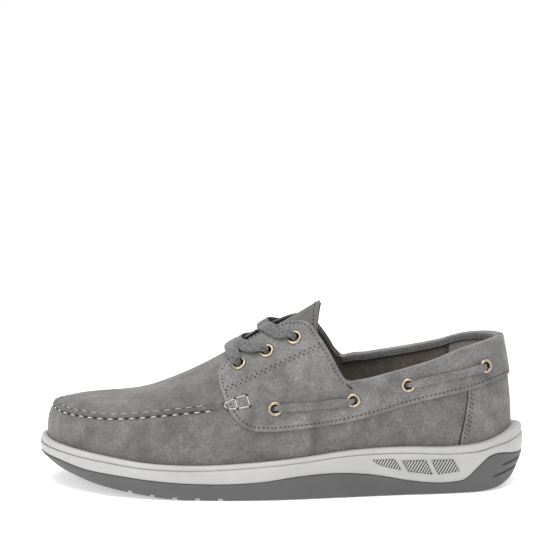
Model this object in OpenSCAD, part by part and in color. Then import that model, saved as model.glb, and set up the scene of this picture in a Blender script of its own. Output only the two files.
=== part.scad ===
// Low-cut moccasin-toe deck shoe, left foot, laced.
// Frame: +Z up, toe towards -X, heel towards +X, outer side of the foot towards -Y.
// Origin: middle of the sole's box, on the ground.

/* [Sole] */
// Length of the sole, toe to heel
sole_length = 300; // [280:1:330]
// Width of the sole across the ball
sole_width = 106; // [98:1:118]
// Height of the seam between upper and sole at the waist
feather_height = 24.4; // [22.4:0.2:28.4]
// Height of the dark rubber band at the waist
band_height = 13.2; // [10.8:0.2:14.6]
// Depth that the upper sits down into the cupped sidewall
cup_depth = 5; // [3:0.5:6]
// Depth of the grooves in the tread
groove_depth = 1.4; // [0.6:0.1:2]
// Thickness of the insole board
board_thick = 2.2; // [1.5:0.1:3]
// Thickness of the footbed
footbed_thick = 3.6; // [2.5:0.1:5]

/* [Upper] */
// Height of the toe box
toe_height = 51.4; // [47:0.2:58]
// Height of the tongue's peak above the ground
instep_height = 112.4; // [102:0.2:124]
// Thickness of the vamp, plug and heel leather
leather_thick = 1.4; // [1:0.1:2]
// Thickness of the quarter leather laid over them
quarter_thick = 1.4; // [1:0.1:2]
// Thickness of the lining
lining_thick = 0.9; // [0.6:0.1:1.4]
// Air between two layers that are sewn or glued together
layer_gap = 0.25; // [0.2:0.05:0.4]
// Diameter of the rolled seam round the plug
seam_roll = 2.6; // [2:0.1:3.4]
// Width of the facing strip inside the topline
binding_width = 4; // [3:0.5:6]

/* [Lacing] */
// Outside diameter of the instep eyelets
eyelet_od = 9; // [7.5:0.1:10]
// Bore of the instep eyelets
eyelet_bore = 5.6; // [5:0.1:6.4]
// Outside diameter of the side eyelets
side_eyelet_od = 8.6; // [7.5:0.1:10]
// Bore of the side eyelets
side_eyelet_bore = 5; // [4.6:0.1:6]
// Height that an eyelet's rolled rim stands proud
rim_proud = 1; // [0.6:0.1:1.5]
// Width of the flat lace
lace_width = 8; // [6:0.5:9]
// Thickness of the flat lace
lace_thick = 1.4; // [1:0.1:1.8]
// Width of the leather thong along the sides
thong_width = 5; // [4:0.5:6]
// Thickness of the leather thong
thong_thick = 1; // [0.8:0.1:1.2]

/* [Tongue] */
// Thickness of the tongue's leather
tongue_thick = 1.4; // [1:0.1:2]
// Thickness of the tongue's lining
tongue_lining = 1.2; // [0.8:0.1:2]
// How far the tongue's sides lie inside the quarters
tongue_tuck = 14; // [13:0.5:16]

/* [Hidden] */
$fn = 48;

// Colours of the materials
SUEDE = [0.44, 0.44, 0.43];
RUBBER = [0.33, 0.33, 0.33];
FOAM = [0.78, 0.78, 0.78];
LINING = [0.36, 0.32, 0.29];
BRASS = [0.78, 0.66, 0.45];
COTTON = [0.3, 0.3, 0.3];

// The shoe is drawn once at a design size, and graded to the sizes above
GRADE_X = sole_length / 300;
GRADE_Y = sole_width / 106;
LIFT = feather_height - 26;
BAND_LIFT = band_height - 14.8;
GRADE_INSTEP = (instep_height - feather_height) / 88;
TOE_LIFT = toe_height - 53;

// Plan outline of the sole at the design size, from the toe along the outer side and back
PLAN = [[-150, 6], [-145, -12], [-133, -27], [-112, -41], [-80, -50.5], [-42, -53], [-4, -51], [34, -45],
  [70, -39.5], [102, -36.5], [127, -31], [143, -18], [150, 0], [143, 18], [127, 29], [102, 33.5],
  [70, 33], [34, 35], [-4, 42.5], [-42, 51.5], [-80, 53], [-112, 49], [-133, 39], [-145, 24]];
// Stations run from -150 at the toe to 150 at the heel. Each curve is [station, value]
// How far the upper stands in from the sole's edge
FEATHER_IN = [[-150, 4.5], [-100, 4.5], [60, 5], [110, 6], [150, 7.5]];
// Height of the seam between upper and sole
FEATHER_Z = [[-150, 30], [-113, 26.5], [-82, 23], [-51, 22], [-19, 23.5], [12, 26], [43, 29.5],
  [74, 30.5], [106, 30], [124, 31.5], [137, 34], [150, 38]];
// Height of the last's ridge, which runs on up the leg behind the throat
RIDGE_Z = [[-150, 52], [-135, 53], [-113, 54], [-88, 57.5], [-63, 67], [-38, 80], [-10, 98],
  [21, 114], [50, 128], [90, 150], [150, 175]];
// Squareness of the cross-section: 2 is an ellipse, more is boxier
SQUARE = [[-150, 3.6], [-120, 3], [-90, 2.5], [-40, 2.1], [0, 1.9], [40, 2.1], [90, 2.6], [150, 2.8]];
// The ridge's own line: its X and its Y for each station
SPINE_X = [[-150, -112], [-120, -102], [-90, -86], [-60, -60], [60, 60], [100, 97], [150, 112]];
SPINE_Y = [[-150, 4], [-100, 2], [-40, 0], [60, -2], [150, 0]];
// Lean of the heel's back towards the foot at the collar
HEEL_LEAN = 5.5;
HEEL_FROM = 95;
COLLAR_RISE = 55;

// Underside of the outsole with its toe spring, and the line between rubber and foam
GROUND = [[-150, 14.5], [-143, 12], [-135, 10.5], [-122, 8], [-97, 4], [-85, 2.5], [-73, 1], [-58, 0]];
HEEL_GROUND = [[118, 0], [127, 0.5], [134, 1.5], [140, 3.5], [146, 7], [150, 11.5]];
BAND_Z = [[-150, 20.5], [-139, 20], [-122, 17], [-97, 14.5], [-60, 11.5], [-36, 11], [-12, 12], [12, 15],
  [35, 16], [54, 14.5], [78, 10], [90, 8.5], [104, 8.5], [112, 10], [121, 18], [125, 21.5], [150, 21.5]];
// Grooves across the tread: first one, spacing, width, and how many
GROOVE_AT = -91;
GROOVE_STEP = 13.7;
GROOVE_W = 3;
GROOVES = 5;
HEEL_GROOVE_AT = 62;
HEEL_GROOVES = 4;

// Lines on the upper, [station, height] at the design size
SEAM = [[-150, 49.5], [-140, 48.5], [-124, 48], [-104, 48], [-89, 49], [-72, 51], [-50, 54], [-33, 56]];
QUARTER_LOW = [[-36.5, 72.5], [-36, 68.5], [-34.5, 64], [-30, 54], [-26, 48.5], [-22, 45.5], [-15, 43],
  [-7, 42.5], [4, 43], [33, 46], [54, 50], [83, 58], [115, 64.5], [133, 68], [150, 70]];
QUARTER_TOP = [[-36.5, 73.5], [-33, 78], [-25, 85.5], [-17, 91.5], [-10, 95.5], [-3, 99], [6, 102.5],
  [14.5, 103.5], [17, 103], [19, 101.5], [23, 96.5], [31, 84.5], [35, 77], [38.5, 72], [42.5, 70.5],
  [48.5, 71], [67, 75], [90.5, 81.5], [115.5, 89.5], [134.5, 92], [150, 93]];
// How much higher the inner side's topline runs
INNER_RISE = [[33, 0], [38.5, 3], [42.5, 5], [54, 5], [67, 4], [90.5, 1.5], [102, 0]];
// Stations of the quarter's grid, close together round its front corner and at the throat
QUARTER_AT = [-36.5, -36.1, -35.4, -34.2, -32.4, -30.2, -27.5, -24.5, -21, -16, -10, -4, 2, 8, 12.5, 15.5,
  18, 20.5, 23.5, 26.5, 29.5, 32.5, 35.5, 38.5, 42, 47, 54, 62, 70, 78, 86, 94, 101, 108, 115, 121,
  127, 132, 137, 141, 144.5, 147.3, 149.2, 150];
// The vamp's top edge: the seam in front, then tucked under the quarter
UNDERLAP = 5;
PLUG_END = -28;
COUNTER_AT = 115;
// Instep eyelets and side eyelets, [station, height]
EYELETS = [[-24, 78.5], [-7.5, 86.5], [9, 94.5]];
SIDE_EYELETS = [[-3, 55], [44, 59.5], [77, 68], [128.5, 77.5]];

// ---- Curves ----
function lerp(a, b, t) = a + (b - a) * t;
function unit(v) = v / norm(v);
function slope(p, k) = (p[k + 1][1] - p[k][1]) / (p[k + 1][0] - p[k][0]);
function span(p, k) = p[k + 1][0] - p[k][0];
function tangent(p, k) =
  k == 0 ? slope(p, 0) :
  k == len(p) - 1 ? slope(p, k - 1) :
  (slope(p, k - 1) * span(p, k) + slope(p, k) * span(p, k - 1)) / (span(p, k) + span(p, k - 1));
// Smooth curve through the points p, read at x
function curve(p, x) =
  let (
    c = min(max(x, p[0][0]), p[len(p) - 1][0]),
    i = min(len([for (q = p) if (q[0] <= c) 1]), len(p) - 1) - 1,
    h = span(p, i),
    t = (c - p[i][0]) / h
  )
  (2 * t^3 - 3 * t^2 + 1) * p[i][1] + (t^3 - 2 * t^2 + t) * h * tangent(p, i)
  + (3 * t^2 - 2 * t^3) * p[i + 1][1] + (t^3 - t^2) * h * tangent(p, i + 1);

// The plan outline at lap u: 0 at the toe, 0.5 at the heel, negative on the inner side
function lap_cell(u) = let (n = len(PLAN), s = (u - floor(u)) * n, i = floor(s) % n)
  [PLAN[(i + n - 1) % n], PLAN[i], PLAN[(i + 1) % n], PLAN[(i + 2) % n], s - floor(s)];
function plan_raw(u) = let (c = lap_cell(u), t = c[4])
  0.5 * (2 * c[1] + (c[2] - c[0]) * t + (2 * c[0] - 5 * c[1] + 4 * c[2] - c[3]) * t^2
  + (3 * c[1] - c[0] - 3 * c[2] + c[3]) * t^3);
function plan_speed(u) = let (c = lap_cell(u), t = c[4])
  0.5 * ((c[2] - c[0]) + 2 * (2 * c[0] - 5 * c[1] + 4 * c[2] - c[3]) * t
  + 3 * (3 * c[1] - c[0] - 3 * c[2] + c[3]) * t^2);
function graded(p) = [p[0] * GRADE_X, p[1] * GRADE_Y];
function station(u) = plan_raw(u)[0];
// The outline moved inwards by d
function plan(u, d) = let (v = unit(graded(plan_speed(u)))) graded(plan_raw(u)) + d * [-v[1], v[0]];
// The lap on the outer side whose station is s
function lap(s, a = 0, b = 0.5, k = 18) =
  k == 0 ? (a + b) / 2 :
  station((a + b) / 2) < s ? lap(s, (a + b) / 2, b, k - 1) : lap(s, a, (a + b) / 2, k - 1);

// ---- The last's surface ----
function feather_z(s) = curve(FEATHER_Z, s) + LIFT;
function toe_share(s) = min(1, max(0, (-40 - s) / 60));
function ridge_z(s) = let (c = curve(SPINE_X, s), z = curve(FEATHER_Z, s), r = curve(RIDGE_Z, c) - z)
  z + LIFT + r * lerp(GRADE_INSTEP, 1, toe_share(s)) + (TOE_LIFT - LIFT) * toe_share(s);
function smooth(t) = let (c = min(1, max(0, t))) c * c * (3 - 2 * c);
// A point of the last at lap u. w is 0 at the feather and 1 at the ridge, as a share of a
// quarter turn of the cross-section; below the feather it is the depth in mm, and tuck
// moves the foot of the section inwards and drop lowers its ridge
function skin(u, w, tuck = 0, drop = 0) =
  let (
    s = station(u),
    n = curve(SQUARE, s),
    base = plan(u, curve(FEATHER_IN, s) + tuck),
    spine = [curve(SPINE_X, s) * GRADE_X, curve(SPINE_Y, curve(SPINE_X, s)) * GRADE_Y],
    turn = 90 * min(1, max(0, w)),
    inward = 1 - pow(max(0, cos(turn)), 2 / n),
    rise = w < 0 ? w : (ridge_z(s) - drop - feather_z(s)) * pow(sin(turn), 2 / n),
    up = min(1.8, max(0, rise / COLLAR_RISE)),
    lean = HEEL_LEAN * smooth((s - HEEL_FROM) / COLLAR_RISE) * pow(up, 1.6),
    xy = base + (spine - base) * inward + unit(spine - base) * lean
  )
  [xy[0], xy[1], feather_z(s) + rise];
// The share w at a station for a height of the design size
function share(s, z) =
  let (f = curve(FEATHER_Z, s), r = curve(RIDGE_Z, curve(SPINE_X, s)))
  asin(pow(min(1, max(0, (z - f) / (r - f))), curve(SQUARE, s) / 2)) / 90;
function normal_at(u, w) =
  unit(cross(skin(u + 0.001, w) - skin(u - 0.001, w), skin(u, min(w + 0.01, 1)) - skin(u, w - 0.01)));
// A route's q is -1 at the outer feather, 0 on the ridge and 1 at the inner feather
function span_at(s, z) = 1 - share(s, z);

// ---- Thick sheets on a grid ----
// g[row][col] has rows along the lap and columns upwards, so row x column points outwards.
// A folded grid starts on the toe's middle line, where the two sides of row 0 are one
function grid_normal(g, i, j, fold) =
  let (
    rows = len(g),
    cols = len(g[0]),
    mid = floor(cols / 2),
    up = g[i][min(j + 1, cols - 1)] - g[i][max(j - 1, 0)]
  )
  !fold || i > 0 ? unit(cross(g[min(i + 1, rows - 1)][j] - g[max(i - 1, 0)][j], up)) :
  j == mid ? unit(cross(g[1][mid - 1] - g[1][mid + 1], g[0][mid] - g[0][mid - 1])) :
  unit(cross(g[1][j] - g[1][cols - 1 - j], up));
function quad(a, b, c, d) = [[a, b, c], [a, c, d]];
function whole(faces) = [for (f = faces) if (f[0] != f[1] && f[1] != f[2] && f[0] != f[2]) f];
module sheet(g, outer, inner, fold = false) {
  rows = len(g);
  cols = len(g[0]);
  back = rows * cols;
  points = [for (o = [outer, inner]) each [for (i = [0 : rows - 1]) each [for (j = [0 : cols - 1])
    let (k = fold && i == 0 ? min(j, cols - 1 - j) : j) g[i][k] + o * grid_normal(g, i, k, fold)]]];
  function id(i, j) = fold && i == 0 ? min(j, cols - 1 - j) : i * cols + j;
  faces = [
    for (i = [0 : rows - 2]) for (j = [0 : cols - 2])
      each quad(id(i, j), id(i, j + 1), id(i + 1, j + 1), id(i + 1, j)),
    for (i = [0 : rows - 2]) for (j = [0 : cols - 2])
      each quad(back + id(i, j), back + id(i + 1, j), back + id(i + 1, j + 1), back + id(i, j + 1)),
    for (i = [0 : rows - 2]) each quad(id(i, 0), id(i + 1, 0), back + id(i + 1, 0), back + id(i, 0)),
    for (i = [0 : rows - 2])
      each quad(id(i + 1, cols - 1), id(i, cols - 1), back + id(i, cols - 1), back + id(i + 1, cols - 1)),
    if (!fold) for (j = [0 : cols - 2])
      each quad(id(0, j + 1), id(0, j), back + id(0, j), back + id(0, j + 1)),
    for (j = [0 : cols - 2])
      each quad(id(rows - 1, j), id(rows - 1, j + 1), back + id(rows - 1, j + 1), back + id(rows - 1, j))
  ];
  polyhedron(points, whole(faces), convexity = 8);
}
function steps(a, b, n) = [for (i = [0 : n]) lerp(a, b, i / n)];
function reversed(g) = [for (i = [len(g) - 1 : -1 : 0]) g[i]];
// Laps of the outer side as they are, or of the inner side in its own order
function on_side(us, side) = side > 0 ? us : [for (u = reversed(us)) -u];
// A grid on the laps us from the share low(s) up to the share top(s), in n strips. With a
// skirt, low is the feather, and one more strip hangs that far below it
function panel(us, low, top, n, skirt = 0) = [for (u = us) let (s = station(u)) [
  if (skirt > 0) skin(u, -skirt),
  for (j = [0 : n]) skin(u, lerp(low(s), top(s), j / n))]];
// A grid across the whole foot, from edge(s) on one side over the ridge to edge(s) on the other
function cap(us, edge, n, skirt = 0, tuck = 0, drop = function (s, t) 0) = [
  for (u = us) let (s = station(u)) [
  if (skirt > 0) skin(u, -skirt),
  for (j = [-n : n])
    skin((j <= 0 ? 1 : -1) * u, 1 - (1 - edge(s)) * abs(j) / n, tuck, drop(s, abs(j) / n)),
  if (skirt > 0) skin(-u, -skirt)]];

// ---- Stacked outlines ----
LAPS = 64;
// A closed ring inside the plan by d(s), at the height z(s)
function ring(d, z) = [for (k = [0 : LAPS - 1])
  let (u = k / LAPS, s = station(u), p = plan(u, d(s))) [p[0], p[1], z(s)]];
module stack(rings) {
  n = LAPS;
  top = (len(rings) - 1) * n;
  faces = [
    for (r = [0 : len(rings) - 2]) for (k = [0 : n - 1]) let (a = r * n + k, b = r * n + (k + 1) % n)
      each quad(a, a + n, b + n, b),
    for (k = [0 : n / 2 - 1]) each quad(k, k + 1, n - k - 1, (n - k) % n),
    for (k = [0 : n / 2 - 1]) each quad(top + k, top + (n - k) % n, top + n - k - 1, top + k + 1)
  ];
  polyhedron([for (r = rings) each r], whole(faces), convexity = 6);
}

// ---- Ribbons ----
// path is a list of [point, up, width, thickness]
SIDES = 8;
function ring_at(path, i) =
  let (
    a = path[max(i - 1, 0)][0],
    b = path[min(i + 1, len(path) - 1)][0],
    t = unit(b - a),
    side = unit(cross(t, path[i][1])),
    up = cross(side, t),
    f = 1 / cos(180 / SIDES)
  )
  [for (k = [0 : SIDES - 1]) let (a = 360 * (k + 0.5) / SIDES)
    path[i][0] + side * path[i][2] / 2 * cos(a) * f + up * path[i][3] / 2 * sin(a) * f];
module ribbon(path) {
  n = SIDES;
  last = (len(path) - 1) * n;
  faces = [
    for (r = [0 : len(path) - 2]) for (k = [0 : n - 1]) let (a = r * n + k, b = r * n + (k + 1) % n)
      each quad(a, b, b + n, a + n),
    for (k = [1 : n - 2]) [0, k + 1, k],
    for (k = [1 : n - 2]) [last, last + k, last + k + 1]
  ];
  polyhedron([for (i = [0 : len(path) - 1]) each ring_at(path, i)], faces, convexity = 10);
}
// Round off a route, whose rows are lists of numbers, with n steps between each two of them
function rounded(p, n) = [
  for (i = [0 : len(p) - 2]) for (k = [0 : n - 1])
    let (a = p[max(i - 1, 0)], b = p[i], c = p[i + 1], d = p[min(i + 2, len(p) - 1)], t = k / n)
    0.5 * (2 * b + (c - a) * t + (2 * a - 5 * b + 4 * c - d) * t^2 + (3 * b - a - 3 * c + d) * t^3),
  p[len(p) - 1]];
// A route's row is [station, q, height off the last, width, thickness]
function on_foot(route) = [for (r = route)
  let (u = (r[1] <= 0 ? 1 : -1) * lap(r[0]), w = 1 - abs(r[1]), n = normal_at(u, w))
  [skin(u, w) + r[2] * n, n, r[3], r[4]]];
// Put children on the upper with their Z along its normal; side is -1 on the inner side
module on_upper(e, side) {
  u = side * lap(e[0]);
  w = share(e[0], e[1]);
  n = normal_at(u, w);
  translate(skin(u, w)) rotate([0, acos(n[2]), atan2(n[1], n[0])]) children();
}

// ---- Levels of the layers, measured outwards from the last's surface ----
QUARTER_IN = layer_gap;
QUARTER_OUT = QUARTER_IN + quarter_thick;
LINING_OUT = -leather_thick - layer_gap;
LINING_IN = LINING_OUT - lining_thick;
CUP_FLOOR = -cup_depth - layer_gap;
// Where a stiffener lies between leather and lining, the lining is that much further in
PUFF_THICK = 0.6;
LINED = LINING_OUT - PUFF_THICK - layer_gap;
LINED_IN = LINED - lining_thick;

// ---- Edges as shares of the section ----
quarter_low = function (s) share(s, curve(QUARTER_LOW, s));
function top_z(s, side) = curve(QUARTER_TOP, s) + (side < 0 ? curve(INNER_RISE, s) : 0);
// Room for half the rolled seam, as a share of the section
seam_room = function (s) let (u = lap(s), w = share(s, curve(SEAM, s)))
  (seam_roll / 2 + layer_gap) * 0.04 / norm(skin(u, w + 0.02) - skin(u, w - 0.02));
vamp_top = function (s)
  s < -33 ? share(s, curve(SEAM, s)) - seam_room(s) :
  share(s, lerp(curve(SEAM, s), curve(QUARTER_LOW, s) + UNDERLAP, smooth((s + 33) / 16))) - seam_room(-33);
plug_edge = function (s) share(s, curve(SEAM, s)) + seam_room(s);
feather = function (s) 0;

// ---- Sole ----
function ground(s) = s < 0 ? curve(GROUND, s) : curve(HEEL_GROUND, s);
function band(s) = curve(BAND_Z, s) + BAND_LIFT;
PROFILE = [for (k = [0 : LAPS / 2]) station(k / LAPS)];
RUBBER_IN = 1;
module outsole() {
  module groove(s) {
    translate([s * GRADE_X, 0, ground(s) + groove_depth - 5])
      cube([GROOVE_W, 2 * sole_width, 10], center = true);
  }
  color(RUBBER) difference() {
    intersection() {
      rotate([90, 0, 0]) linear_extrude(height = 2 * sole_width, center = true) polygon([
        each [for (s = PROFILE) [s * GRADE_X, ground(s)]],
        each [for (s = reversed(PROFILE)) [s * GRADE_X, band(s) - layer_gap]]]);
      translate([0, 0, -1]) linear_extrude(height = 60)
        polygon([for (k = [0 : LAPS - 1]) plan(k / LAPS, RUBBER_IN)]);
    }
    for (i = [0 : GROOVES - 1]) groove(GROOVE_AT + i * GROOVE_STEP);
    for (i = [0 : HEEL_GROOVES - 1]) groove(HEEL_GROOVE_AT + i * GROOVE_STEP);
  }
}
// Shape of the sidewall from the bottom up: [inset, share of the way up to the feather, drop in mm]
WALL = [[1.2, 0, 0], [0.3, 0.12, 0], [0, 0.4, 0], [0.5, 1, 4.8], [1.6, 1, 4.2], [0.9, 1, 3.5], [1, 1, 0.8],
  [1.7, 1, 0]];
LIP = 0.3;
module cupsole() {
  color(FOAM) stack([
    for (w = WALL) ring(function (s) w[0], function (s) lerp(band(s), feather_z(s), w[1]) - w[2]),
    ring(function (s) curve(FEATHER_IN, s) - LIP, function (s) feather_z(s)),
    ring(function (s) curve(FEATHER_IN, s) - LIP, function (s) feather_z(s) + CUP_FLOOR)]);
}
// Windows in the sidewall: [station, height] of the two low corners, and the top's height
VENTS = [[[59.5, 20.5], [72.5, 17], 23.5], [[77, 16], [91.5, 14], 22.5], [[95, 14], [108, 15.5], 22.5]];
VENT_LEAN = 4;
VENT_THICK = 0.7;
module vents(side) {
  color(RUBBER) for (v = VENTS) {
    g = [for (i = [0 : 4]) [for (j = [0 : 2])
      let (low = lerp(v[0], v[1], i / 4), p = plan(side * lap(low[0] - VENT_LEAN * j / 2), 0))
      [p[0], p[1], lerp(low[1], v[2], j / 2) + LIFT]]];
    sheet(side > 0 ? g : reversed(g), layer_gap + VENT_THICK, layer_gap);
  }
}
INSIDE = 0.4 - LINED_IN;
module board_stack(low, high) {
  stack([for (z = [low, high])
    ring(function (s) curve(FEATHER_IN, s) + INSIDE, function (s) feather_z(s) + z)]);
}
SHANK = [-4, 70, 14, 1];
BOARD_LOW = CUP_FLOOR + SHANK[3] + 0.6;
FOOTBED_LOW = BOARD_LOW + board_thick + layer_gap;
FLOOR = FOOTBED_LOW + footbed_thick;
module insole_board() {
  color([0.7, 0.62, 0.5]) board_stack(BOARD_LOW, BOARD_LOW + board_thick);
}
// A steel strip under the board through the waist: first and last station, width, thickness
module shank() {
  g = [for (s = steps(SHANK[0], SHANK[1], 8)) [for (y = [-0.5, 0.5])
    [s * GRADE_X, y * SHANK[2], feather_z(s) + CUP_FLOOR + 1.5 * layer_gap]]];
  color([0.6, 0.6, 0.62]) sheet(g, SHANK[3], 0);
}
module footbed() {
  color(LINING) board_stack(FOOTBED_LOW, FLOOR);
}
// A padded patch on the footbed: first station, thickness, and how far inside the footbed's edge
HEEL_PAD = [62, 1.2, 5];
module heel_pad() {
  function inner(s) = curve(FEATHER_IN, s) + INSIDE + HEEL_PAD[2];
  g = [for (u = steps(lap(HEEL_PAD[0]), 0.492, 10))
    let (s = station(u), a = plan(u, inner(s)), b = plan(-u, inner(s)))
    let (z = [0, 0, feather_z(s) + FLOOR + layer_gap])
    [for (t = [0, 0.5, 1]) [each lerp(a, b, t), 0] + z]];
  color(SUEDE) sheet(g, HEEL_PAD[1], 0);
}

// ---- Upper ----
// Laps from the toe back to the front of the quarters
TOE_LAPS = steps(0, 0.204, 15);
BEHIND = 0.0015;
module vamp() {
  half = [each TOE_LAPS, each steps(0.213, lap(COUNTER_AT) - BEHIND, 20)];
  us = [for (u = reversed(half)) -u, for (i = [1 : len(half) - 1]) half[i]];
  color(SUEDE) sheet(panel(us, feather, vamp_top, 4, cup_depth), 0, -leather_thick);
}
module plug() {
  us = [each TOE_LAPS, 0.212, lap(PLUG_END)];
  color(SUEDE) sheet(cap(us, plug_edge, 8), 0, -leather_thick, fold = true);
}
// The rolled seam where the plug and the vamp are gathered together
module seam_roll_cord() {
  half = [each TOE_LAPS, 0.2145];
  us = [for (u = reversed(half)) -u, for (i = [1 : len(half) - 1]) half[i]];
  color(SUEDE) ribbon([for (u = us) let (w = share(station(u), curve(SEAM, station(u))), n = normal_at(u, w))
    [skin(u, w), n, seam_roll - 2 * layer_gap, seam_roll]]);
}
module heel_cover() {
  us = steps(lap(COUNTER_AT) + BEHIND, 1 - lap(COUNTER_AT) - BEHIND, 24);
  color(SUEDE) sheet(panel(us, feather, vamp_top, 3, cup_depth), 0, -leather_thick);
}
// The last lap of a layer whose inner face is d deep, so that the two sides end HEEL_GAP apart.
// The deeper it is and the rounder the heel, the sooner it has to end
HEEL_GAP = 0.7;
HEEL_TURN = 0.5;
BACK_SPEED = norm(plan_speed(0.5)) * len(PLAN);
function heel_end(d) = 0.5 - (HEEL_GAP / 2 + HEEL_TURN * d * GRADE_X / GRADE_Y^2) / (BACK_SPEED * GRADE_Y);
module quarter(side) {
  us = [for (s = QUARTER_AT) min(lap(s), heel_end(0))];
  top = function (s) share(s, top_z(s, side));
  difference() {
    color(SUEDE) sheet(panel(on_side(us, side), quarter_low, top, 8), QUARTER_OUT, QUARTER_IN);
    for (e = EYELETS) on_upper(e, side) cylinder(d = hole(eyelet_bore), h = 8, center = true);
    for (e = SIDE_EYELETS) on_upper(e, side) cylinder(d = hole(side_eyelet_bore), h = 8, center = true);
  }
}
BARREL_WALL = 0.3;
HOLE_AIR = 0.1;
SEAT_AIR = 0.25;
function hole(bore) = bore + 2 * BARREL_WALL + 2 * HOLE_AIR;
// A firm layer between quarter and lining, from above the thong's channel up to the edge
function thong_z(s) = curve(SIDE_EYELETS, s);
EDGE_IN = 0.8;
FACING_AT = [-27, -24.5, -21, -16, -10, -4, 2, 8, 12.5, 15.5, 18, 20.5, 23.5, 26.5, 29.5, 32.5, 35.5, 38.5, 42,
  47, 54, 62, 70, 78, 86, 94, 101, 108, 115, 121, 127, 132, 137, 141, 144.5, 147.3, 149.2, 150];
facing_low = function (s) share(s, thong_z(s) + thong_width / 2 + 1.5);
module facing(side) {
  us = [for (s = FACING_AT) min(lap(s), heel_end(leather_thick))];
  top = function (s) share(s, top_z(s, side) - EDGE_IN);
  difference() {
    color([0.5, 0.47, 0.42]) sheet(panel(on_side(us, side), facing_low, top, 6), 0, -leather_thick);
    for (e = EYELETS) on_upper(e, side) cylinder(d = hole(eyelet_bore), h = 8, center = true);
  }
}
// Stiff shells that lie sealed between leather and lining
PUFF_END = 0.12;
module toe_puff() {
  us = [for (u = TOE_LAPS) if (u < PUFF_END) u];
  color([0.8, 0.78, 0.7]) sheet(cap(us, feather, 10), LINING_OUT, LINING_OUT - PUFF_THICK, fold = true);
}
STIFF_AT = 104;
STIFF_TOP = 60;
module heel_stiffener() {
  us = steps(lap(STIFF_AT), 1 - lap(STIFF_AT), 28);
  color([0.8, 0.78, 0.7]) sheet(panel(us, feather, function (s) share(s, STIFF_TOP), 4),
    LINING_OUT, LINING_OUT - PUFF_THICK);
}
VAMP_LINING_END = -39.5;
module vamp_lining() {
  us = [for (u = TOE_LAPS) if (u < lap(VAMP_LINING_END)) u, lap(VAMP_LINING_END)];
  color(LINING) sheet(cap(us, feather, 9, cup_depth), LINED, LINED_IN, fold = true);
}
// The quarter's lining runs from the floor to the edge; in front it stays below the tongue's root
ROOT_CLEAR = [[-38, 60], [-30, 63], [-20, 72], [-8, 99.2], [0, 120]];
function lining_top(s, side) = share(s, min(top_z(s, side) - EDGE_IN, s < 0 ? curve(ROOT_CLEAR, s) : 999));
HEEL_LINING_AT = 102;
LINING_AT = [-38, -34, -30, for (s = FACING_AT) if (s < HEEL_LINING_AT) s];
module quarter_lining(side) {
  us = [for (s = LINING_AT) lap(s)];
  top = function (s) lining_top(s, side);
  difference() {
    color(LINING) sheet(panel(on_side(us, side), feather, top, 8, cup_depth), LINING_OUT, LINING_IN);
    for (e = EYELETS) on_upper(e, side) cylinder(d = hole(eyelet_bore), h = 8, center = true);
  }
}
module heel_lining() {
  us = steps(lap(HEEL_LINING_AT), 1 - lap(HEEL_LINING_AT), 30);
  top = function (s) lining_top(s, 1);
  color(LINING) sheet(panel(us, feather, top, 5, cup_depth), LINED, LINED_IN);
}
BINDING_THICK = 0.7;
BINDING_AT = [for (s = FACING_AT) if (s >= 38.5) s];
module binding(side) {
  out = LINED_IN - layer_gap;
  us = [for (s = BINDING_AT) min(lap(s), heel_end(BINDING_THICK - out))];
  low = function (s) share(s, top_z(s, side) - binding_width - EDGE_IN);
  top = function (s) share(s, top_z(s, side) - EDGE_IN / 2);
  color(SUEDE) sheet(panel(on_side(us, side), low, top, 1), out, out - BINDING_THICK);
}

// ---- Tongue, hinged where it is sewn under the plug ----
TONGUE_AT = [-36, -32, -28, -22, -16, -10, -4, 2, 8, 14, 19, 23];
TONGUE_DROP = [[-36, 3.8], [-18, 4.8], [0, 4.4], [12, 2.6], [23, 0.6]];
TONGUE_EDGE = [[-36, 0.62], [-20, 0.4], [0, 0.3], [23, 0.34]];
// Its middle stands up between the quarters, behind the plug's end
CROWN = 0.35;
tongue_drop = function (s, t)
  curve(TONGUE_DROP, s) * (1 - CROWN * smooth((s + 26) / 14) * (1 - smooth(t / 0.34)));
tongue_edge = function (s) curve(TONGUE_EDGE, s);
function tongue_grid() = cap([for (s = TONGUE_AT) lap(s)], tongue_edge, 8, 0, tongue_tuck, tongue_drop);
module tongue() {
  color(SUEDE) sheet(tongue_grid(), 0, -tongue_thick);
}
module tongue_backing() {
  color(LINING) sheet(tongue_grid(), -tongue_thick - layer_gap, -tongue_thick - layer_gap - tongue_lining);
}

// ---- Eyelets ----
// A rolled ring with its barrel through the leather; deep is how far the barrel goes in
module eyelet(od, bore, deep) {
  a = bore / 2;
  b = od / 2;
  z = QUARTER_OUT + SEAT_AIR;
  rotate_extrude() polygon([
    [a, -deep], [a, z + rim_proud * 0.7], [a + 0.3, z + rim_proud], [b - 0.5, z + rim_proud],
    [b, z + rim_proud * 0.5], [b - 0.2, z], [a + BARREL_WALL, z], [a + BARREL_WALL, -deep]]);
}
module eyelets(side) {
  color(BRASS) for (e = EYELETS) on_upper(e, side) eyelet(eyelet_od, eyelet_bore, -LINING_IN);
}
module side_eyelets(side) {
  color(BRASS) for (e = SIDE_EYELETS) on_upper(e, side) eyelet(side_eyelet_od, side_eyelet_bore, -QUARTER_IN);
}

// ---- Thong and laces: rows of [station, q, height off the last, width, thickness] ----
THONG_OUT = QUARTER_OUT + thong_thick / 2 + layer_gap;
THONG_OVER = QUARTER_OUT + SEAT_AIR + rim_proud + thong_thick / 2 + layer_gap;
THONG_IN = -leather_thick / 2;
function q_at(e, side) = -side * span_at(e[0], e[1]);
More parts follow.
